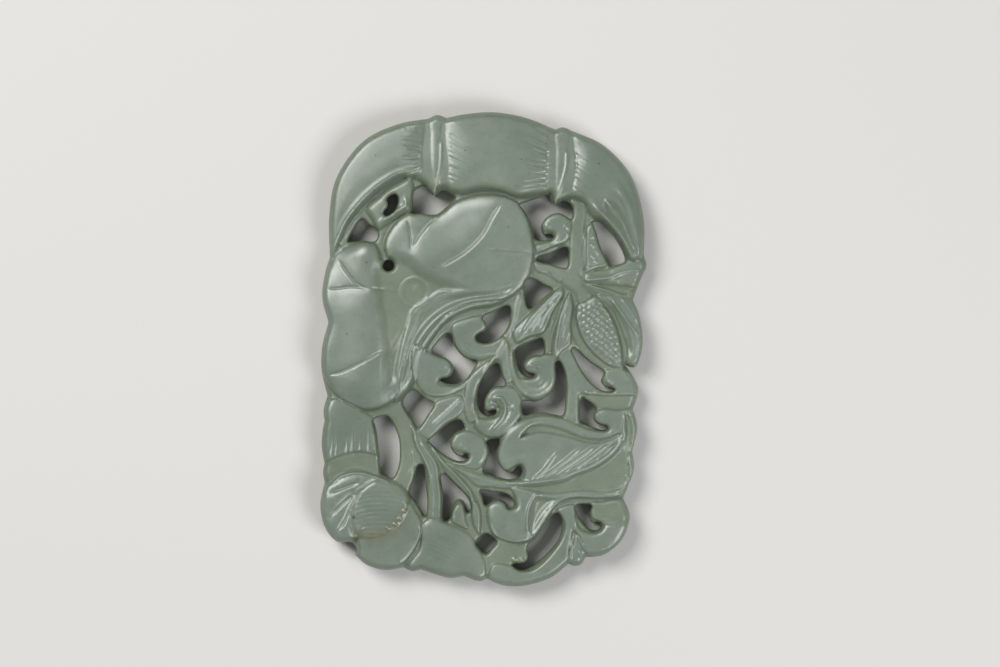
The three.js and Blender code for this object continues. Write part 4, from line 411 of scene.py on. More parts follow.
# Ridges (rise above 0) and soft grooves: full width, rise, and the path of the middle.
RIDGES = {
    "first_ring_crest": (0.7, 0.2, [(-6.95, 35), (-7, 32), (-7.3, 29.4), (-7.9, 27)]),
    "second_ring_crest": (0.7, 0.2, [(14.2, 33.4), (14.1, 31), (13.5, 28.4), (12.6, 25.8)]),
    "left_root_crease": (2.2, 0.2, [(-24.4, 17.8), (-23.4, 20.6), (-21.6, 23.5), (-19.3, 26),
        (-16.8, 28), (-14, 29.5), (-11.4, 30)]),
    "right_root_inner": (1.6, 0.45, [(18.4, 24.6), (19.4, 23.4), (21, 21.6), (22.6, 19.7), (24, 17.7),
        (25.1, 15.8), (25.8, 13.8)]),
    "right_root_outer": (2.2, 0.45, [(22.4, 27.6), (23.8, 25.4), (24.9, 23), (25.5, 20.5), (26, 18),
        (26.4, 16), (26.6, 13.6)]),
    "leaf_rim": (2.6, 0.3, [(4.2, 9), (1.6, 8.4), (-1, 8.1), (-3.4, 7.5), (-5.6, 6.5), (-7.6, 5.1),
        (-9.4, 3.3), (-10.6, 1.2), (-11.5, -1), (-12.2, -4), (-13.1, -6.3), (-14.7, -8.2)]),
    "fold_crease": (1.1, 0.17, [(-5, 9.9), (-7, 9.7), (-8.9, 8.6), (-10.6, 7.4), (-11.8, 6.4),
        (-12.2, 5), (-13, 2.4), (-13.7, -0.6), (-14.2, -3.4), (-14.5, -4.8)]),
    "second_fold": (1.4, -0.09, [(-12.8, 4), (-14.6, 1.2), (-16.1, -1.3), (-16.7, -4), (-16.5, -6.8)]),
    "eye_outer": (0.9, 0.08, [(-9.1, 9.7), (-9.8, 11.3), (-11.4, 12), (-13.1, 11.3), (-13.8, 9.7),
        (-13.1, 8), (-11.4, 7.3), (-9.8, 8), (-9.1, 9.7)]),
    "bracket_crest": (1.0, 0.4, [(-12.9, 25.6), (-13, 24.2), (-14.6, 23.1), (-16.1, 22.1), (-17.3, 21.2)]),
    "stalk_line": (0.6, -0.16, [(17.35, 20.6), (17.3, 16.6), (17.2, 13.2)]),
    "stalk_crest": (0.6, 0.12, [(16.95, 20.4), (16.95, 16.6), (16.85, 13)]),
    "rough_crest": (0.8, 0.18, [(17.8, 20.2), (17.7, 17), (17.7, 13.8)]),
    "rough_foot": (0.8, 0.35, [(16.9, 12.5), (17.8, 13.4), (19.6, 14), (20.8, 14)]),
    "curl_strip": (0.6, 0.2, [(9.6, 16.6), (11.8, 17.3), (13.3, 18.3)]),
    "left_petal_crest": (0.6, 0.25, [(9.7, 13.2), (11.8, 12.2), (13, 11.1)]),
    "side_petal_upper": (0.7, 0.35, [(17.2, 11.6), (19.4, 11.8), (21.4, 12.1), (23.2, 12.9), (24.8, 13.2),
        (26.8, 13.2)]),
    "side_petal_trough": (1.4, -0.35, [(17.8, 12.4), (20.4, 12.9), (22.6, 13.5)]),
    "side_petal_lower": (0.7, 0.35, [(17.2, 11.2), (18.9, 10.5), (21.6, 9.7), (23.6, 9)]),
    "side_petal_hollow": (1.6, -0.4, [(18.4, 11.1), (20.6, 11), (23.4, 10.8), (25.6, 10.6)]),
    "long_petal_edge": (0.8, 0.3, [(25.3, 7.6), (26.2, 5), (26.7, 2), (26.4, -0.5), (25.6, -2.6)]),
    "long_petal_crease": (0.7, 0.25, [(21.8, 8.3), (23.9, 5.3), (26, 2.4)]),
    "long_petal_second": (0.6, 0.16, [(23.4, 8.6), (24.8, 6.6), (26, 4.6)]),
    "long_petal_hollow": (1.6, -0.35, [(20.6, 8.6), (22.6, 5.8), (24.2, 2.6), (24.8, -1.4)]),
    "slant_petal": (0.9, 0.4, [(13, 10.2), (10.6, 7.8), (8.4, 5.4), (6.5, 2.6)]),
    "slant_petal_second": (0.7, 0.25, [(11.2, 7.4), (9.1, 5), (8, 3)]),
    "slant_petal_edge": (0.6, -0.2, [(12.2, 8.2), (10.6, 6), (9.4, 3.4)]),
    "low_petal": (0.9, 0.4, [(14.3, 9), (13.3, 6), (12.6, 2.6), (12.1, -0.8)]),
    "low_petal_second": (0.6, 0.2, [(14, 6), (13.4, 2.4)]),
    "low_petal_third": (0.6, 0.25, [(14.8, 3), (14.4, 0.9)]),
    "pod_rim": (0.7, 0.3, [(15.8, 6), (16.4, 3.2), (17.4, 1.2), (18.6, -0.3), (20, -1.6), (21.6, -2.7)]),
    "hook_edge": (0.6, 0.12, [(-3.4, 0.2), (-2, -0.8), (0, -1.1), (2, -0.6)]),
    "left_hook_edge": (0.6, 0.14, [(-10, -7.2), (-8, -7.8), (-5.6, -7.5), (-3.4, -6.4)]),
    "loop_crest": (0.6, 0.28, [(3.9, 1.5), (2.4, -0.8), (0.6, -3.4), (-0.6, -6), (-1.4, -8.6),
        (-1.6, -10.8)]),
    "loop_second": (0.6, 0.14, [(4.1, 1.2), (4.2, -1.6), (4.3, -4.2)]),
    "slant_stem": (1.2, 0.2, [(4, 1.6), (5.2, 4.4), (5.9, 7.4), (6.4, 9.6)]),
    "comma_edge": (0.7, 0.2, [(12.1, -4.4), (11.7, -6.1), (10.4, -7.4), (8.6, -7.9), (6.8, -7.3)]),
    "comma_tip": (0.5, 0.2, [(7.8, -2.6), (8.8, -2.8), (9.7, -3)]),
    "comma_facet": (1.6, -0.2, [(5.8, -5), (7.6, -6.3), (9.8, -6.1), (11, -4.4)]),
    "ring_crest": (0.9, 0.45, [(1.8, -8.3), (3, -8.2), (3.8, -9.4), (3.6, -11.2), (2.6, -12.6),
        (1.2, -13.9)]),
    "ring_hollow": (1.1, -0.5, [(1.2, -9), (2.2, -9.2), (2.9, -10)]),
    "little_leaf_crest": (0.5, 0.2, [(-3.8, -8.4), (-5.6, -10.1), (-8.4, -12.6)]),
    "upright_edge": (0.6, 0.2, [(15.9, -7.6), (15.9, -10), (15.8, -12)]),
    "branch_edge": (0.7, 0.3, [(17, -7.2), (19, -7.5), (22, -7.6), (25.8, -7.5)]),
    "midrib": (0.8, 0.3, [(4.2, -22.6), (8, -22.4), (11.2, -22), (13.6, -21.6), (15.4, -20.8),
        (18.5, -19.6), (21, -18), (22.4, -16.6), (23.5, -15)]),
    "leaf_tip_edge": (0.6, 0.25, [(23.9, -11), (23.7, -12.6), (23.7, -14.2)]),
    "hook_outer": (0.5, 0.2, [(24.4, -10.2), (25.3, -11), (25.8, -12.6), (25.7, -14.4), (25.3, -16)]),
    "margin": (0.8, 0.3, [(25.2, -20.6), (24.9, -22.6), (23.9, -24), (22, -24.7), (19.6, -24.9),
        (16.6, -24.7), (14.2, -25), (12.6, -25.9), (11, -27.7), (9.5, -30), (8.3, -31.6)]),
    "tip_rim": (0.7, 0.35, [(9.9, -24.4), (8.8, -24.7), (7.9, -26.3), (7.5, -28.4), (7.5, -30.8)]),
    "lobe_foot": (0.6, 0.16, [(1.4, -29.4), (2.2, -31.2), (4, -32.1), (6, -32.3), (7.6, -31.9)]),
    "corner_rim": (0.7, 0.14, [(24.1, -29.6), (23.4, -31.4), (21.8, -33), (19.6, -34)]),
    "bud_left": (0.6, 0.3, [(15.6, -31.1), (15, -32.3), (14.9, -34), (14.6, -35.6)]),
    "bud_right": (0.5, 0.2, [(15.9, -31.2), (16.6, -32.5), (17.3, -33.8)]),
    "bud_middle": (0.5, 0.2, [(16.1, -33.8), (16.9, -35.4)]),
    "left_stem": (0.9, 0.42, [(-11.5, -14.4), (-10.9, -16.4), (-9.9, -18.2), (-9.2, -19.8), (-8.8, -21.6)]),
    "middle_stem": (0.8, 0.28, [(-10.4, -15.6), (-9.4, -17.2), (-8, -19.2), (-7.6, -21.6), (-7.3, -25),
        (-7.4, -28.6)]),
    "stem_line": (0.6, 0.16, [(-8.8, -21.4), (-8.4, -24.4), (-8.5, -28)]),
    "fork_stem": (0.8, 0.38, [(-7.2, -18.4), (-5, -20.6), (-3.4, -22.4), (-2.1, -24), (-1.6, -26)]),
    "strip_edge": (0.6, 0.25, [(-11.8, -17), (-11.7, -18.6), (-11.8, -19.8), (-12.4, -21)]),
    "stem_foot": (0.6, 0.12, [(-2, -21.2), (0.6, -22), (3.4, -22.7)]),
    "bundle_edge": (0.7, 0.25, [(-18.3, -14), (-18.1, -16), (-17.9, -18)]),
    "petal_top": (0.6, 0.25, [(-25.4, -22.6), (-24, -21.4), (-22, -20.8), (-20, -20.8), (-18.4, -21.3),
        (-17, -21.8), (-15.5, -22.4)]),
    "pod_crease": (1.5, -0.24, [(-21.2, -32), (-22.1, -29), (-21.9, -26.4), (-20.5, -23.7), (-17.8, -22),
        (-15, -22)]),
    "under_petal_edge": (0.6, 0.3, [(-10.5, -29.6), (-10.7, -31.4), (-11.7, -33.6), (-13.1, -35.4),
        (-14, -36)]),
    "low_leaf_edge": (0.6, 0.2, [(0.1, -35), (0.3, -36.4), (0.2, -37.6)]),
    "knob_edge": (0.6, 0.2, [(0.6, -16.4), (0.4, -18), (-0.6, -19.6)]),
    "tuft_edge": (0.5, 0.2, [(-5, -28.6), (-4.7, -27), (-4, -26)]),
}

# Broad swells (above 0) and falls across several forms: full width, rise, and the path of the middle.
SWELLS = {
    "root_fall": (20, -0.8, [(-25.4, 15.4), (-26.2, 22), (-24.8, 28), (-20.7, 34.8), (-14.2, 38.2),
        (-8.6, 39.8), (2, 40.4), (9.4, 38.9), (13.6, 37.6), (20.7, 34.6), (25.2, 29.4), (27.4, 21.8),
        (26.6, 15)]),
    "left_lobe": (13, 0.65, [(-20, 15.4), (-19.3, 9), (-19.1, 3), (-20, -5)]),
    "left_lobe_end": (8, 0.25, [(-22, 14), (-20, 16)]),
    "right_lobe": (14, 0.65, [(-9, 15), (-3, 17), (1, 20.5), (3.4, 25)]),
    "right_root": (8, 0.25, [(18, 31), (22, 27), (24.6, 21.6), (25.6, 17)]),
    "low_lobe": (9, 0.35, [(3, -29), (5.5, -28), (6, -31)]),
    "low_leaf": (9, 0.35, [(-8, -30.5), (-4, -34), (-3, -38)]),
    "disc": (9, 0.3, [(17.6, -33), (21, -31.6), (23.4, -28)]),
    "collar": (9, 0.3, [(-26, -10), (-25.4, -17)]),
    "petal_dome": (7, 0.28, [(-25, -25), (-23, -22.6), (-19, -21.6)]),
    "leaf_blade": (10, 0.5, [(6, -14), (9, -17), (8, -20.6)]),
}

# Incised lines: full width and depth of the sharp cut, then of the shallow valley round it, and the
# paths of the middle.
CUTS = {
    "leaf_veins": (0.55, 0.22, 2.6, 0.035, [
        [(-24.2, 14.9), (-22.8, 12.9), (-21.4, 11.3), (-19.8, 10.4)],
        [(-26, 10.1), (-24, 10.3), (-22, 10.5), (-19.5, 10.3)],
        [(-25.8, -4.3), (-23.6, -3.7), (-21, -2.5), (-18.8, -1.4), (-16.8, -0.2)],
        [(-12.6, 21.6), (-12.3, 19.6), (-12, 16.9)],
        [(-7.8, 22.2), (-9.4, 20.6), (-10.8, 18.8), (-11.7, 17.2)],
        [(3, 24.3), (1.6, 22.2), (0.4, 19.8), (-1.2, 17.8), (-3.6, 15.8), (-7, 13.8)]]),
    "faint_veins": (0.6, 0.09, 1.6, 0.03, [
        [(8, 16.2), (4, 16.5), (1, 16.8)],
        [(-19.5, 10.3), (-16.6, 10), (-14.6, 9.7)]]),
    "feather_veins": (0.62, 0.32, 1.0, 0.0, [
        [(8.2, -22.2), (10.4, -20.2), (12.4, -17.4)],
        [(9.8, -21.7), (13, -19.4), (16.2, -16.7)],
        [(11.8, -21.1), (15.2, -18.8), (18.6, -16.4)],
        [(13.9, -20.9), (17.4, -18.7), (20.9, -16)],
        [(16.8, -19.9), (19.6, -17.9), (22.4, -15.6)],
        [(19.4, -18.6), (21.2, -17), (22.9, -15.5)]]),
    "scallops": (0.4, 0.12, 0.8, 0.02, [
        [(22.4, -21.5), (23.8, -21.5), (25.1, -21.5)],
        [(23.6, -19.8), (25, -19.4)],
        [(20.6, -23), (22, -23.3), (23, -23.5)]]),
    "dome_grooves": (0.8, 0.34, 2.2, 0.08, [
        [(-25.6, -24.1), (-23, -23.1), (-20.8, -22.3)],
        [(-25.6, -28), (-23.8, -26.2), (-21.8, -24.4)],
        [(-24.4, -30.4), (-23, -28.6), (-22.2, -26.8)]]),
    "step_line": (0.4, 0.12, 0.8, 0.02, [
        [(20, -29.6), (22.2, -29.5), (24.3, -29.3)]]),
}

# Fans of tapering strokes: start and end of the first stroke and of the last, how many, and their width
# and depth.
STROKES = {
    "left_of_first_ring": (((-10.3, 34), (-13, 34.4)), ((-10.8, 30), (-14, 28.9)), 7, 0.5, 0.34),
    "above_left": (((-10.4, 37), (-13.8, 37.5)), ((-10.3, 34.8), (-13.4, 35.1)), 4, 0.4, 0.1),
    "right_of_first_ring": (((-5.7, 36.4), (-2.6, 34.6)), ((-5.6, 28.6), (-2.8, 27.6)), 11, 0.44, 0.07),
    "left_of_second_ring": (((10.9, 33.4), (7.5, 35)), ((10.7, 27.5), (7, 26.9)), 7, 0.6, 0.4),
    "above_right": (((11, 36.4), (8, 37.8)), ((10.9, 34.6), (7.6, 36)), 4, 0.45, 0.14),
    "right_of_second_ring": (((15.5, 33), (17.8, 31.8)), ((15.4, 27.4), (18.4, 25)), 8, 0.46, 0.09),
    "slant_petal_hatch": (((8.4, 6.6), (7.4, 5.2)), ((11.6, 5.2), (10.8, 3)), 6, 0.36, 0.12),
    "low_petal_hatch": (((13.5, 6.6), (13.1, 4.6)), ((13.9, 1.6), (13.4, 0.2)), 5, 0.34, 0.12),
    "side_petal_hatch": (((22.6, 11.4), (24, 10.8)), ((25, 12.2), (26.2, 11.2)), 4, 0.36, 0.1),
    "collar_flutes": (((-25.6, -17.9), (-25.2, -14.6)), ((-19.2, -17.3), (-19.2, -13.4)), 6, 0.8, 0.2),
    "low_leaf_lines": (((-8.4, -30.8), (-1.8, -34)), ((-9.8, -35), (-3.8, -37.6)), 7, 0.55, 0.05),
    "disc_scratches": (((19, -27), (22.4, -27)), ((19, -28.4), (22, -28.4)), 4, 0.24, 0.03),
    "ring_texture": (((4.6, -8.8), (5.6, -9.8)), ((4.2, -11), (3.4, -12.4)), 6, 0.4, 0.14),
}

# Little knobs on the pods' edges, the leaf's rim and the petals: place, radius and rise.
KNOBS = [(19.95, 7.65, 0.5, 0.3), (20.5, 6.7, 0.45, 0.25), (21.1, 6, 0.45, 0.25), (21.6, 5, 0.45, 0.25),
         (-13.1, -25.9, 0.55, 0.16), (-13.1, -27.1, 0.55, 0.16), (-13.9, -28.4, 0.6, 0.16),
         (-14.7, -29.4, 0.55, 0.16), (-15.9, -30.2, 0.5, 0.12), (-21.3, -31.6, 0.5, 0.3),
         (-10.8, 0.15, 0.45, 0.3), (-11, 10, 1.15, 0.1), (5.4, -35.4, 0.5, 0.35), (6.6, -35.5, 0.6, 0.35),
         (-5.7, -3.3, 0.9, 0.12), (-3.4, -16.4, 0.9, 0.12), (8.2, -2.9, 0.8, 0.1), (19.2, -11, 0.5, 0.12),
         (21.4, -5.6, 0.6, 0.2), (14, 20.6, 0.6, 0.14), (14.1, 19.4, 0.5, 0.14),
         (11, 20.7, 0.4, 0.15), (18.5, 15.4, 0.45, 0.3), (19.2, 16.2, 0.35, 0.25), (18.4, 17.4, 0.4, 0.25),
         (19, 14.6, 0.4, 0.3), (18.4, 19, 0.35, 0.2), (5.2, -9.7, 0.5, 0.15), (18.4, -28.6, 0.4, 0.15)]


# Plan geometry

def smooth_loop(points, closed=True, step=EDGE_SPACING):
    """The centripetal curve through the points, in steps of about the given length."""
    count = len(points)
    points = np.array(points, float)
    if count == 2 and not closed:
        parts = max(1, int(np.linalg.norm(points[1] - points[0]) / step + 0.5))
        return points[0] + (points[1] - points[0]) * np.linspace(0, 1, parts + 1)[:, None]
    pieces = []
    for index in range(count if closed else count - 1):
        p1 = points[index]
        p2 = points[(index + 1) % count]
        if closed:
            p0 = points[index - 1]
            p3 = points[(index + 2) % count]
        else:
            p0 = points[index - 1] if index > 0 else 2 * p1 - p2
            p3 = points[index + 2] if index + 2 < count else 2 * p2 - p1
        t01 = np.linalg.norm(p1 - p0) ** 0.5
        t12 = np.linalg.norm(p2 - p1) ** 0.5
        t23 = np.linalg.norm(p3 - p2) ** 0.5
        m1 = ((p1 - p0) / t01 - (p2 - p0) / (t01 + t12) + (p2 - p1) / t12) * t12
        m2 = ((p2 - p1) / t12 - (p3 - p1) / (t12 + t23) + (p3 - p2) / t23) * t12
        parts = max(1, int(np.linalg.norm(p2 - p1) / step + 0.7))
        t = np.linspace(0, 1, parts, endpoint=False)[:, None]
        pieces.append(p1 * (2 * t**3 - 3 * t**2 + 1) + m1 * (t**3 - 2 * t**2 + t)
                      + p2 * (3 * t**2 - 2 * t**3) + m2 * (t**3 - t**2))
    curve = np.vstack(pieces)
    return curve if closed else np.vstack([curve, points[-1]])


def outer_loop():
    """The whole outer edge, which turns sharply where one lobe meets the next."""
    runs = list(OUTER_EDGE.values())
    pieces = []
    for index, run in enumerate(runs):
        next_start = runs[(index + 1) % len(runs)][0]
        pieces.append(smooth_loop(run + [next_start], closed=False)[:-1])
    return np.vstack(pieces)


def hole_loop():
    turn = np.linspace(0, 2 * math.pi, CORD_HOLE_PARTS, endpoint=False)
    return np.array(CORD_HOLE_CENTRE) + CORD_HOLE_RADIUS * np.column_stack([np.cos(turn), np.sin(turn)])


def inside(points, loop):
    """True for the points inside a closed loop."""
    result = np.zeros(len(points), bool)
    low = loop.min(0)
    high = loop.max(0)
    near = np.flatnonzero(np.all((points >= low) & (points <= high), axis=1))
    if not len(near):
        return result
    x = points[near, 0]
    y = points[near, 1]
    odd = np.zeros(len(near), bool)
    ends = np.roll(loop, -1, axis=0)
    for (ax, ay), (bx, by) in zip(loop, ends):
        if ay == by:
            continue
        crosses = (ay > y) != (by > y)
        odd ^= crosses & (x < ax + (y - ay) * (bx - ax) / (by - ay))
    result[near] = odd
    return result


def distances(points, path, closed, reach, group=10):
    """Distance from each point to a path, only worked out up to the reach."""
    result = np.full(len(points), float(reach))
    near = np.flatnonzero(np.all((points >= path.min(0) - reach) & (points <= path.max(0) + reach), axis=1))
    if not len(near):
        return result
    here = points[near]
    best = np.full(len(near), float(reach) ** 2)
    whole = np.vstack([path, path[:1]]) if closed else path
    for first in range(0, len(whole) - 1, group):
        part = whole[first:first + group + 1]
        low = part.min(0) - reach
        high = part.max(0) + reach
        close = np.flatnonzero((here[:, 0] >= low[0]) & (here[:, 0] <= high[0])
                               & (here[:, 1] >= low[1]) & (here[:, 1] <= high[1]))
        if not len(close):
            continue
        along = part[1:] - part[:-1]
        size = np.maximum((along**2).sum(1), SHORTEST**2)
        offset = here[close][:, None] - part[:-1][None]
        t = np.clip((offset * along).sum(2) / size, 0, 1)
        gap = offset - t[:, :, None] * along
        best[close] = np.minimum(best[close], (gap**2).sum(2).min(1))
    result[near] = np.sqrt(best)
    return result


OUTER = outer_loop()
HOLES = [smooth_loop(points) for points in OPENINGS.values()] + [hole_loop()]
LOOPS = [OUTER] + HOLES
BOUNDARY = np.vstack(LOOPS)


def in_material(points):
    result = inside(points, OUTER)
    for loop in HOLES:
        result &= ~inside(points, loop)
    return result


def edge_distance(points, reach, loops=LOOPS):
    """Distance to the nearest of the outlines and openings."""
    result = np.full(len(points), float(reach))
    for loop in loops:
        result = np.minimum(result, distances(points, loop, True, reach))
    return result


# Heights

def smooth_step(t):
    t = np.clip(t, 0, 1)
    return t * t * (3 - 2 * t)


def quarter_round(distance, reach):
    t = np.clip(distance / reach, 0, 1)
    return np.sqrt(np.maximum(0, 1 - (1 - t) ** 2))


def spread(points, loop, reach):
    """Depth inside a loop, up to the reach, and 0 outside."""
    return np.where(inside(points, loop), distances(points, loop, True, reach), 0)


def strokes_of(fan):
    """The strokes of a fan as start, end, width and depth, a little uneven."""
    first, last, count, width, depth = fan
    for index in range(count):
        t = (index + 0.22 * math.sin(3.7 * index + 1)) / (count - 1)
        start = np.array(first[0]) * (1 - t) + np.array(last[0]) * t
        end = np.array(first[1]) * (1 - t) + np.array(last[1]) * t
        end = start + (end - start) * (1 + 0.2 * math.sin(4.1 * index + 1))
        uneven_width = width * (1 + 0.15 * math.sin(5.3 * index))
        uneven_depth = depth * (1 + 0.25 * math.sin(2.9 * index))
        yield start, end, uneven_width, uneven_depth


def stroke_cut(points, start, end, width, depth):
    """A cut that is widest and deepest at its start and tapers to its end."""
    along = end - start
    offset = points - start
    t = np.clip(offset @ along / (along @ along), 0, 1)
    gap = np.linalg.norm(offset - t[:, None] * along, axis=1)
    half = width / 2 * (1 - 0.7 * t)
    return depth * smooth_step(0.35 + 5 * t) * (1 - t**2) * smooth_step(1 - gap / half)


def pod_scales(points):
    """A net of small scales, in rows that follow the right-hand seed pod."""
    depth = spread(points, smooth_loop(FORMS["right_pod"][4]), 1.2)
    dx = points[:, 0] - RIGHT_POD_CENTRE[0]
    dy = points[:, 1] - RIGHT_POD_CENTRE[1]
    along = dy * math.cos(RIGHT_POD_LEAN) + dx * math.sin(RIGHT_POD_LEAN) + SCALE_ROW_BEND * dx**2
    across = dx * math.cos(RIGHT_POD_LEAN) - dy * math.sin(RIGHT_POD_LEAN)
    first = np.full(len(points), FAR_OFF)
    second = first.copy()
    middle = np.round(along / SCALE_ROW)
    for step_up in (-1, 0, 1):
        row = middle + step_up
        shift = np.where(row % 2 == 0, 0, SCALE_COLUMN / 2) + 0.12 * np.sin(2.1 * row)
        for step_aside in (-1, 0, 1):
            column = np.round((across - shift) / SCALE_COLUMN) + step_aside
            wander = 0.1 * np.sin(3.3 * row + 5.1 * column)
            gap = np.hypot(along - row * SCALE_ROW - wander, across - shift - column * SCALE_COLUMN + wander)
            second = np.minimum(second, np.maximum(first, gap))
            first = np.minimum(first, gap)
    net = 1 - smooth_step((second - first) / SCALE_SEAM)
    swell = 1 - smooth_step(first / SCALE_RADIUS)
    faded = smooth_step((SCALES_END - points[:, 1]) / 1.6)
    return (SCALE_RISE * swell - SEAM_DEPTH * net) * faded * smooth_step((depth - 0.2) / 0.7)


def dome_rings(points):
    """The striations of the left-hand seed pod, slightly sagging."""
    depth = spread(points, smooth_loop(FORMS["left_pod"][4]), 1.0)
    dx = points[:, 0] - LEFT_POD_CENTRE[0]
    dy = points[:, 1] - LEFT_POD_CENTRE[1] + 0.03 * dx**2
    wave = np.cos(2 * math.pi * dy / STRIATION_SPACING + 0.5 * np.sin(0.9 * dx))
    broken = 0.65 + 0.35 * np.sin(1.7 * dx + 2.3 * dy)
    return -STRIATION_DEPTH * broken * smooth_step((wave + 0.2) / 1.1) * smooth_step((depth - 0.3) / 0.9)


def knobs(points):
    result = np.zeros(len(points))
    for x, y, radius, rise in KNOBS:
        gap = np.hypot(points[:, 0] - x, points[:, 1] - y)
        result = np.maximum(result, rise * smooth_step(1.2 - 1.2 * gap / radius))
    return result


def tapering(points, path, length):
    """0 at the ends of a path, rising to 1 within the length."""
    if path[0] == path[-1]:
        return 1
    away = [np.hypot(points[:, 0] - x, points[:, 1] - y) for x, y in (path[0], path[-1])]
    return smooth_step(np.minimum(*away) / length + 0.15)


def broad_forms(points):
    """Height and painted shade of the front with its forms and hollows alone."""
    height = np.full(len(points), STEM)
    painted_shade = np.full(len(points), BED_PAINTED_SHADE)
    for level, foot, step, reach, edge in FORMS.values():
        depth = spread(points, smooth_loop(edge), reach)
        here = depth > 0
        brink = 1 - (1 - np.clip(depth / step, 0, 1)) ** 2
        rise = STEP_SHARE * brink + (1 - STEP_SHARE) * quarter_round(depth, reach)
        shaped = np.maximum(np.minimum(height, level), foot + (level - foot) * rise)
        height = np.where(here, shaped, height)
        # Painted shade fades out across the step at a form's edge, leaving the form's top unshaded
        form_shade = np.minimum(painted_shade, 1 - smooth_step(depth / (2 * step)))
        painted_shade = np.where(here, form_shade, painted_shade)
    for level, reach, edge in HOLLOWS.values():
        # A hollow gets painted shade as well as its fall in height
        fall = smooth_step(spread(points, smooth_loop(edge), reach) / reach)
        painted_shade = np.maximum(painted_shade, HOLLOW_PAINTED_SHADE * fall)
        height += np.minimum(level - height, 0) * fall
    return height, painted_shade


def relief(points, outer_margin, hole_margin):
    """Height of the front and its painted shade, from 0 on an open face to 1 in a deep corner."""
    height, painted_shade = broad_forms(points)
    for width, rise, path in RIDGES.values():
        gap = distances(points, smooth_loop(path, closed=False), False, width)
        shape = smooth_step(1 - 2 * gap / width) * tapering(points, path, RIDGE_TAPER * width)
        height += rise * shape
        # Painted highlight along ridges, painted shade in grooves
        painted_shade += (RIDGE_PAINTED_HIGHLIGHT if rise > 0 else GROOVE_PAINTED_SHADE) * shape
    for width, rise, path in SWELLS.values():
        gap = distances(points, smooth_loop(path, closed=False, step=SWELL_SPACING), False, width / 2)
        raised = smooth_step((height - SWELL_FROM) / SWELL_FADE)
        height += rise * smooth_step(1 - 2 * gap / width) * raised
    for width, depth, valley, sag, paths in CUTS.values():
        for path in paths:
            gap = distances(points, smooth_loop(path, closed=False), False, valley)
            cut = np.clip(1 - 2 * gap / width, 0, 1) ** CUT_SHARPNESS * tapering(points, path, CUT_TAPER)
            height -= depth * cut + sag * smooth_step(1 - 2 * gap / valley)
            # Painted shade in the cut
            painted_shade += CUT_PAINTED_SHADE * cut
    for fan in STROKES.values():
        for stroke in strokes_of(fan):
            cut = stroke_cut(points, *stroke)
            height -= cut
            # Painted shade in the stroke
            painted_shade += STROKE_PAINTED_SHADE * cut
    height += pod_scales(points) + dome_rings(points) + knobs(points)
    margin = np.minimum(outer_margin, hole_margin)
    # Painted shade along the outlines and the openings
    painted_shade = np.maximum(painted_shade, EDGE_PAINTED_SHADE * (1 - smooth_step(margin / EDGE_PAINTED_SHADE_REACH)))
    height -= np.maximum(OUTER_FALL * (1 - quarter_round(outer_margin, OUTER_ROUNDING)),
                         HOLE_FALL * (1 - quarter_round(hole_margin, HOLE_ROUNDING)))
    return height, np.clip(painted_shade, 0, 1)


# The mesh

def offset_rows(path, closed, rows):
    """Copies of a path moved sideways by each of the rows."""
    ends = np.roll(path, -1, axis=0) if closed else np.vstack([path[1:], 2 * path[-1] - path[-2]])
    before = np.roll(path, 1, axis=0) if closed else np.vstack([2 * path[0] - path[1], path[:-1]])
    along = ends - before
    along /= np.maximum(np.linalg.norm(along, axis=1), SHORTEST)[:, None]
    side = np.column_stack([-along[:, 1], along[:, 0]])
    return [path + row * side for row in rows]


def line_rows(path, width, shares):
    """Points along the middle of a line and in rows on both sides, at the given shares of its width."""
    rows = [0] + [side * share * width for share in shares for side in (1, -1)]
    return offset_rows(smooth_loop(path, closed=False, step=LINE_SPACING), False, rows)


def thinned(points, taken, clearance):
    """The points in order, without those closer than the clearance to one kept before."""
    cells = {}
    limit = clearance * clearance
    for x, y in taken.tolist():
        cells.setdefault((int(x // clearance), int(y // clearance)), []).append((x, y))
    result = []
    for x, y in points.tolist():
        i = int(x // clearance)
        j = int(y // clearance)
        for key in [(i + aside, j + up) for aside in (0, -1, 1) for up in (0, -1, 1)]:
            if any((px - x) ** 2 + (py - y) ** 2 < limit for px, py in cells.get(key, ())):
                break
        else:
            cells.setdefault((i, j), []).append((x, y))
            result.append((x, y))
    return np.array(result)


def hex_grid(low, high, spacing):
    rows = np.arange(low[1], high[1], spacing * HEX_ROW)
    columns = np.arange(low[0], high[0], spacing)
    x, y = np.meshgrid(columns, rows)
    x = x + np.where(np.arange(len(rows)) % 2 == 0, 0, spacing / 2)[:, None]
    return np.column_stack([x.ravel(), y.ravel()])


def turns_left(loop):
    ends = np.roll(loop, -1, axis=0)
    return np.sum(loop[:, 0] * ends[:, 1] - loop[:, 1] * ends[:, 0]) > 0


def edge_rows(rows):
    """Rows of points along every outline and opening, at the given distances inside the material."""
    made = []
    for number, loop in enumerate(LOOPS):
        toward = -1 if (turns_left(loop) != (number == 0)) else 1
        made += zip(rows, offset_rows(loop, True, [toward * row for row in rows]))
    points = np.vstack([line for _, line in made])
    wanted = np.concatenate([np.full(len(line), row) for row, line in made])
    clear = edge_distance(points, max(rows)) > KEPT_SHARE * wanted
    return points[clear & in_material(points)]


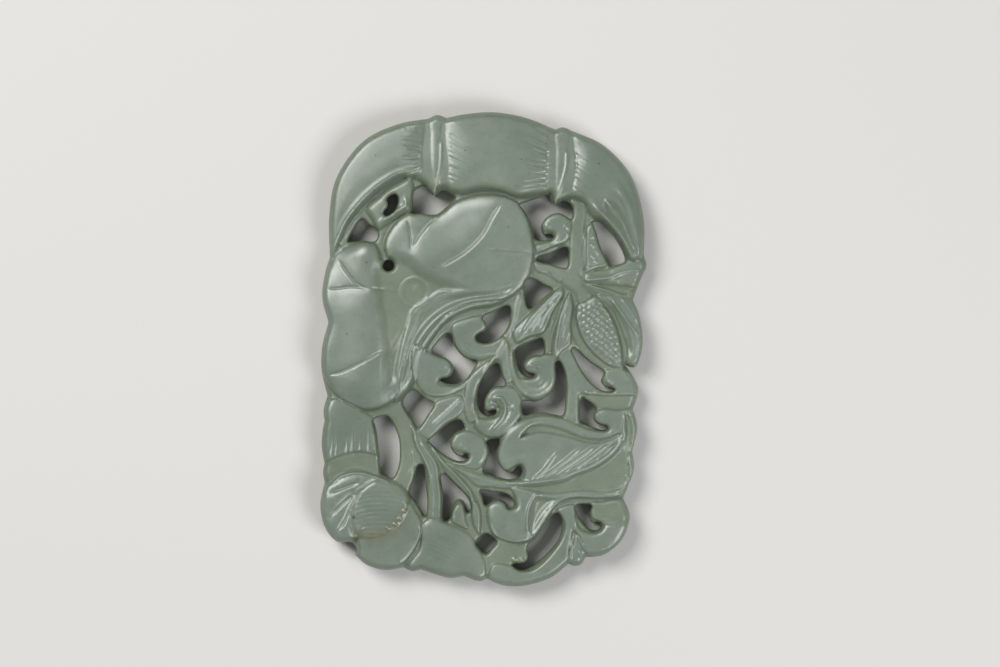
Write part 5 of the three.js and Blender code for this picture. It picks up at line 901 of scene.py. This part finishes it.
def front_points():
    groups = []
    for width, _, path in RIDGES.values():
        groups += line_rows(path, width, RIDGE_ROWS)
    for width, _, _, _, paths in CUTS.values():
        for path in paths:
            groups += line_rows(path, width, CUT_ROWS)
    for fan in STROKES.values():
        for start, end, width, _ in strokes_of(fan):
            groups += line_rows([start, end], width, STROKE_ROWS)
    for _, _, _, _, edge in FORMS.values():
        groups += offset_rows(smooth_loop(edge), True, FORM_ROWS)
    for name in ("right_pod", "left_pod"):
        loop = smooth_loop(FORMS[name][4])
        grid = hex_grid(loop.min(0), loop.max(0), FINE_SPACING)
        groups.append(grid[inside(grid, loop)])
    groups.append(hex_grid(OUTER.min(0), OUTER.max(0), FILL_SPACING))
    points = np.vstack(groups)
    points = points[in_material(points)]
    points = points[edge_distance(points, 2 * EDGE_GAP) > EDGE_GAP]
    return thinned(np.vstack([edge_rows(EDGE_ROWS), points]), BOUNDARY, CLEARANCE)


def triangulate(points):
    """Triangles over the plan between the outlines; the points start with those of the outlines."""
    edges = []
    start = 0
    for loop in LOOPS:
        count = len(loop)
        edges += [(start + i, start + (i + 1) % count) for i in range(count)]
        start += count
    found = delaunay_2d_cdt([Vector(p) for p in points], edges, [], 0, 1e-6, True)
    flat = np.array([tuple(v) for v in found[0]])
    triangles = np.array([face for face in found[2] if len(face) == 3])
    return flat, triangles[in_material(flat[triangles].mean(axis=1))]


def carved_front(thickness):
    """Points, triangles and painted shade of the front."""
    flat, faces = triangulate(np.vstack([BOUNDARY, front_points()]))
    outer_margin = edge_distance(flat, OUTER_ROUNDING, LOOPS[:1])
    hole_margin = edge_distance(flat, OUTER_ROUNDING, LOOPS[1:])
    outer_margin[:len(OUTER)] = 0
    hole_margin[len(OUTER):len(BOUNDARY)] = 0
    height, painted_shade = relief(flat, outer_margin, hole_margin)
    height *= thickness / height.max()
    return np.column_stack([flat, height]), faces, painted_shade


def flat_back():
    """Points and triangles of the back, flat but for its softly rounded edges."""
    grid = hex_grid(OUTER.min(0), OUTER.max(0), BACK_SPACING)
    grid = grid[in_material(grid)]
    grid = grid[edge_distance(grid, 2 * BACK_GRID_GAP) > BACK_GRID_GAP]
    points = thinned(np.vstack([edge_rows(BACK_ROWS), grid]), BOUNDARY, BACK_CLEARANCE)
    flat, faces = triangulate(np.vstack([BOUNDARY, points]))
    margin = edge_distance(flat, BACK_ROUNDING)
    margin[:len(BOUNDARY)] = 0
    height = BACK_EDGE * (1 - quarter_round(margin, BACK_ROUNDING))
    return np.column_stack([flat, height]), faces


def wall_faces(wall_at, back_at):
    """Triangles of the walls, in a band from the front to the middle row and one from there to the back."""
    faces = []
    start = 0
    for number, loop in enumerate(LOOPS):
        count = len(loop)
        flip = turns_left(loop) == (number == 0)
        for i in range(count):
            a = start + i
            b = start + (i + 1) % count
            if flip:
                a, b = b, a
            for above, below in ((0, wall_at), (wall_at, back_at)):
                faces.append((a + above, b + above, b + below))
                faces.append((a + above, b + below, a + below))
        start += count
    return faces


def build_plaque():
    box_low, box_high = (np.array(corner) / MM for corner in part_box(PLAQUE))
    width, length, thickness = box_high - box_low
    front, front_faces, painted_shade = carved_front(thickness)
    back, back_faces = flat_back()

    # One row in the middle of the wall, between the front's and the back's copies of the outlines
    edge_count = len(BOUNDARY)
    wall = np.column_stack([BOUNDARY, (front[:edge_count, 2] + back[:edge_count, 2]) / 2])
    wall_at = len(front)
    back_at = wall_at + edge_count
    polygons = list(map(tuple, front_faces))
    polygons += [(a + back_at, c + back_at, b + back_at) for a, b, c in back_faces]
    polygons += wall_faces(wall_at, back_at)

    low = OUTER.min(0)
    high = OUTER.max(0)
    scale = np.array([width, length]) / (high - low)
    verts = np.vstack([front, wall, back])
    verts[:, :2] = (verts[:, :2] - (low + high) / 2) * scale
    verts[:, :2] += (box_low[:2] + box_high[:2]) / 2
    verts[:, 2] += box_low[2]
    mesh = bpy.data.meshes.new("jade_carving")
    mesh.from_pydata([tuple(v) for v in verts * MM], [], polygons)
    mesh.update()
    # Painted shade of every point, for the jade's colour; the walls and the back get fixed amounts
    shade = np.concatenate([painted_shade, np.full(edge_count, WALL_PAINTED_SHADE), np.full(len(back), BACK_PAINTED_SHADE)])
    layer = mesh.attributes.new("painted_shade_amount", "FLOAT", "POINT")
    layer.data.foreach_set("value", shade.astype(np.float32))
    mesh.polygons.foreach_set("use_smooth", np.ones(len(mesh.polygons), bool))
    item = bpy.data.objects.new("jade_carving", mesh)
    bpy.context.collection.objects.link(item)
    return item


# The jade

# Colours at two places on a ramp; the first is the jade in the open, the second the same jade in painted
# shade, darker and more olive
UNSHADED_JADE = ((0.32, (0.148, 0.189, 0.147)), (0.68, (0.196, 0.238, 0.195)))
JADE_IN_PAINTED_SHADE = ((0.32, (0.118, 0.148, 0.084)), (0.68, (0.155, 0.187, 0.117)))
GRAIN_SHADE = ((0.35, (0.72, 0.74, 0.7)), (0.66, (1.0, 1.0, 1.0)))
SPECK_SHADE = ((0.3, (0.62, 0.62, 0.58)), (0.42, (1.0, 1.0, 1.0)))
STAIN_BROWN = (0.14, 0.12, 0.05)
PIT_DARK = (0.04, 0.045, 0.03)
JADE_SURFACE = {"IOR": 1.66, "Subsurface Weight": 0.6, "Subsurface Radius": (0.9, 1.0, 0.6),
                "Subsurface Scale": 0.0016}

# The brown stain under the left pod, and small pits: place and radius, and how far their edges fade
STAIN = [(-20.8, -31.2, 0.9), (-19, -31.8, 1), (-17.2, -31.4, 1), (-15.6, -30.4, 1), (-14.2, -29.2, 0.9),
         (-13.2, -27.6, 0.7)]
STAIN_FADE = 1.2
PITS = [(-24.1, 17.4, 0.3), (-21.8, -28.2, 0.3), (-19.6, 14.6, 0.16), (4.2, 20.6, 0.14), (-3.1, 33.4, 0.14),
        (19.4, 31.2, 0.16), (16.8, -19.6, 0.12), (-22.9, 2.6, 0.15), (6.4, 31.9, 0.12), (-18.2, 32.6, 0.14)]
PIT_FADE = 0.1


def set_inputs(node, values):
    for name, value in values.items():
        node.inputs[name].default_value = value


def noise(tree, scale, detail, roughness=0.5, distortion=0.0):
    made = tree.nodes.new("ShaderNodeTexNoise")
    set_inputs(made, {"Scale": scale, "Detail": detail, "Roughness": roughness, "Distortion": distortion})
    place = tree.nodes.new("ShaderNodeTexCoord")
    tree.links.new(place.outputs["Object"], made.inputs["Vector"])
    return made.outputs["Fac"]


def ramp(tree, value, stops):
    made = tree.nodes.new("ShaderNodeValToRGB")
    for element, (at, colour) in zip(made.color_ramp.elements, stops):
        element.position = at
        element.color = (*colour, 1)
    tree.links.new(value, made.inputs["Fac"])
    return made.outputs["Color"]


def mixed(tree, factor, first, second, blend="MIX"):
    made = tree.nodes.new("ShaderNodeMix")
    made.data_type = "RGBA"
    made.blend_type = blend
    for name, value in (("Factor_Float", factor), ("A_Color", first), ("B_Color", second)):
        socket = next(s for s in made.inputs if s.identifier == name)
        if isinstance(value, bpy.types.NodeSocket):
            tree.links.new(value, socket)
        elif isinstance(value, tuple):
            socket.default_value = (*value, 1)
        else:
            socket.default_value = value
    return next(s for s in made.outputs if s.identifier == "Result_Color")


def maths(tree, operation, first, second=0.0, clamp=False):
    made = tree.nodes.new("ShaderNodeMath")
    made.operation = operation
    made.use_clamp = clamp
    for socket, value in zip(made.inputs, (first, second)):
        if isinstance(value, bpy.types.NodeSocket):
            tree.links.new(value, socket)
        else:
            socket.default_value = value
    return made.outputs["Value"]


def vector_maths(tree, operation, first, second=(0, 0, 0)):
    made = tree.nodes.new("ShaderNodeVectorMath")
    made.operation = operation
    made.inputs[1].default_value = second
    tree.links.new(first, made.inputs[0])
    return made.outputs


def near_spot(tree, x, y, radius, softness):
    """1 within the radius of a spot on the plan, fading to 0."""
    place = tree.nodes.new("ShaderNodeTexCoord")
    apart = vector_maths(tree, "SUBTRACT", place.outputs["Object"], (x * MM, y * MM, 0))
    level = vector_maths(tree, "MULTIPLY", apart[0], (1, 1, 0))
    size = vector_maths(tree, "LENGTH", level[0])
    fade = tree.nodes.new("ShaderNodeMapRange")
    fade.interpolation_type = "SMOOTHSTEP"
    set_inputs(fade, {"From Min": (radius + softness) * MM, "From Max": max(0, radius - softness) * MM})
    tree.links.new(size["Value"], fade.inputs["Value"])
    return fade.outputs["Result"]


def near_spots(tree, spots, softness):
    """1 within any of the spots, fading to 0."""
    result = None
    for x, y, radius in spots:
        spot = near_spot(tree, x, y, radius, softness)
        result = spot if result is None else maths(tree, "MAXIMUM", result, spot)
    return result


def jade():
    made = bpy.data.materials.new("jade")
    made.use_nodes = True
    tree = made.node_tree
    shader = tree.nodes["Principled BSDF"]
    layer = tree.nodes.new("ShaderNodeAttribute")
    layer.attribute_name = "painted_shade_amount"
    painted_shade = layer.outputs["Fac"]
    cloudy = noise(tree, scale=55, detail=3, roughness=0.55, distortion=0.6)
    grain = noise(tree, scale=420, detail=5, roughness=0.62)
    specks = noise(tree, scale=1500, detail=2)
    unshaded_colour = ramp(tree, cloudy, UNSHADED_JADE)
    painted_shade_colour = ramp(tree, cloudy, JADE_IN_PAINTED_SHADE)
    # Painted shade: the jade is mixed toward its darker olive copy by the painted shade amount
    colour = mixed(tree, maths(tree, "MULTIPLY", painted_shade, 0.8, True), unshaded_colour, painted_shade_colour)
    colour = mixed(tree, 0.35, colour, ramp(tree, grain, GRAIN_SHADE), "MULTIPLY")
    colour = mixed(tree, 0.3, colour, ramp(tree, specks, SPECK_SHADE), "MULTIPLY")
    brown = near_spots(tree, STAIN, STAIN_FADE)
    brown = maths(tree, "MULTIPLY", brown, maths(tree, "MULTIPLY", grain, 1.4), True)
    colour = mixed(tree, maths(tree, "MULTIPLY", brown, 0.7), colour, STAIN_BROWN)
    # The small pits are painted as near-black spots
    pit = near_spots(tree, PITS, PIT_FADE)
    colour = mixed(tree, maths(tree, "MULTIPLY", pit, 0.75), colour, PIT_DARK)
    tree.links.new(colour, shader.inputs["Base Color"])
    rough = maths(tree, "ADD", maths(tree, "MULTIPLY", grain, 0.14), 0.26)
    # The painted shade amount also makes the recesses rougher
    rough = maths(tree, "ADD", rough, maths(tree, "MULTIPLY", painted_shade, 0.12))
    tree.links.new(rough, shader.inputs["Roughness"])
    set_inputs(shader, JADE_SURFACE)
    bump = tree.nodes.new("ShaderNodeBump")
    set_inputs(bump, {"Strength": 0.12, "Distance": 0.0001})
    tree.links.new(grain, bump.inputs["Height"])
    tree.links.new(bump.outputs["Normal"], shader.inputs["Normal"])
    return made


plaque = build_plaque()
plaque.data.materials.append(jade())
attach(plaque, "root")
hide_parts(PLAQUE)


# Floor, lights and camera, in metres

FLOOR_REACH = 1.5
FLOOR_COLOUR = (0.6, 0.59, 0.57)
FLOOR_ROUGHNESS = 0.85
SKY_COLOUR = (0.8, 0.82, 0.85)
SKY_STRENGTH = 0.24
SENSOR_WIDTH = 36
LENS = 128.8
CAMERA_ASIDE = (2.78 * MM, 2.68 * MM)
CAMERA_ABOVE = 0.6


def floor_material():
    made = bpy.data.materials.new("floor")
    made.use_nodes = True
    set_inputs(made.node_tree.nodes["Principled BSDF"],
               {"Base Color": (*FLOOR_COLOUR, 1), "Roughness": FLOOR_ROUGHNESS})
    return made


def area_light(name, place, size, power, colour):
    """A square light that shines at the middle of the plaque's back."""
    data = bpy.data.lights.new(name, "AREA")
    data.shape = "SQUARE"
    data.size = size
    data.energy = power
    data.color = colour
    lamp = bpy.data.objects.new(name, data)
    lamp.location = place
    lamp.rotation_euler = (-Vector(place)).to_track_quat("-Z", "Y").to_euler()
    bpy.context.collection.objects.link(lamp)


low_corner, high_corner = CAD_BOX
floor_mesh = bpy.data.meshes.new("floor")
floor_corners = [(x * FLOOR_REACH, y * FLOOR_REACH, low_corner[2])
                 for x, y in ((-1, -1), (1, -1), (1, 1), (-1, 1))]
floor_mesh.from_pydata(floor_corners, [], [(0, 1, 2, 3)])
floor = bpy.data.objects.new("floor", floor_mesh)
floor_mesh.materials.append(floor_material())
bpy.context.collection.objects.link(floor)

area_light("key", place=(-0.33, 0.3, 0.58), size=0.34, power=4.6, colour=(1, 0.99, 0.97))
area_light("fill", place=(0.36, -0.26, 0.5), size=0.3, power=2.7, colour=(0.97, 0.985, 1))

world = bpy.data.worlds.new("studio")
world.use_nodes = True
set_inputs(world.node_tree.nodes["Background"], {"Color": (*SKY_COLOUR, 1), "Strength": SKY_STRENGTH})

scene = bpy.context.scene
scene.world = world
scene.view_settings.view_transform = "Standard"
camera_data = bpy.data.cameras.new("camera")
camera_data.sensor_width = SENSOR_WIDTH
camera_data.lens = LENS
camera_data.clip_start = 0.01
camera = bpy.data.objects.new("camera", camera_data)
camera.location = (*CAMERA_ASIDE, high_corner[2] + CAMERA_ABOVE)
bpy.context.collection.objects.link(camera)
scene.camera = camera
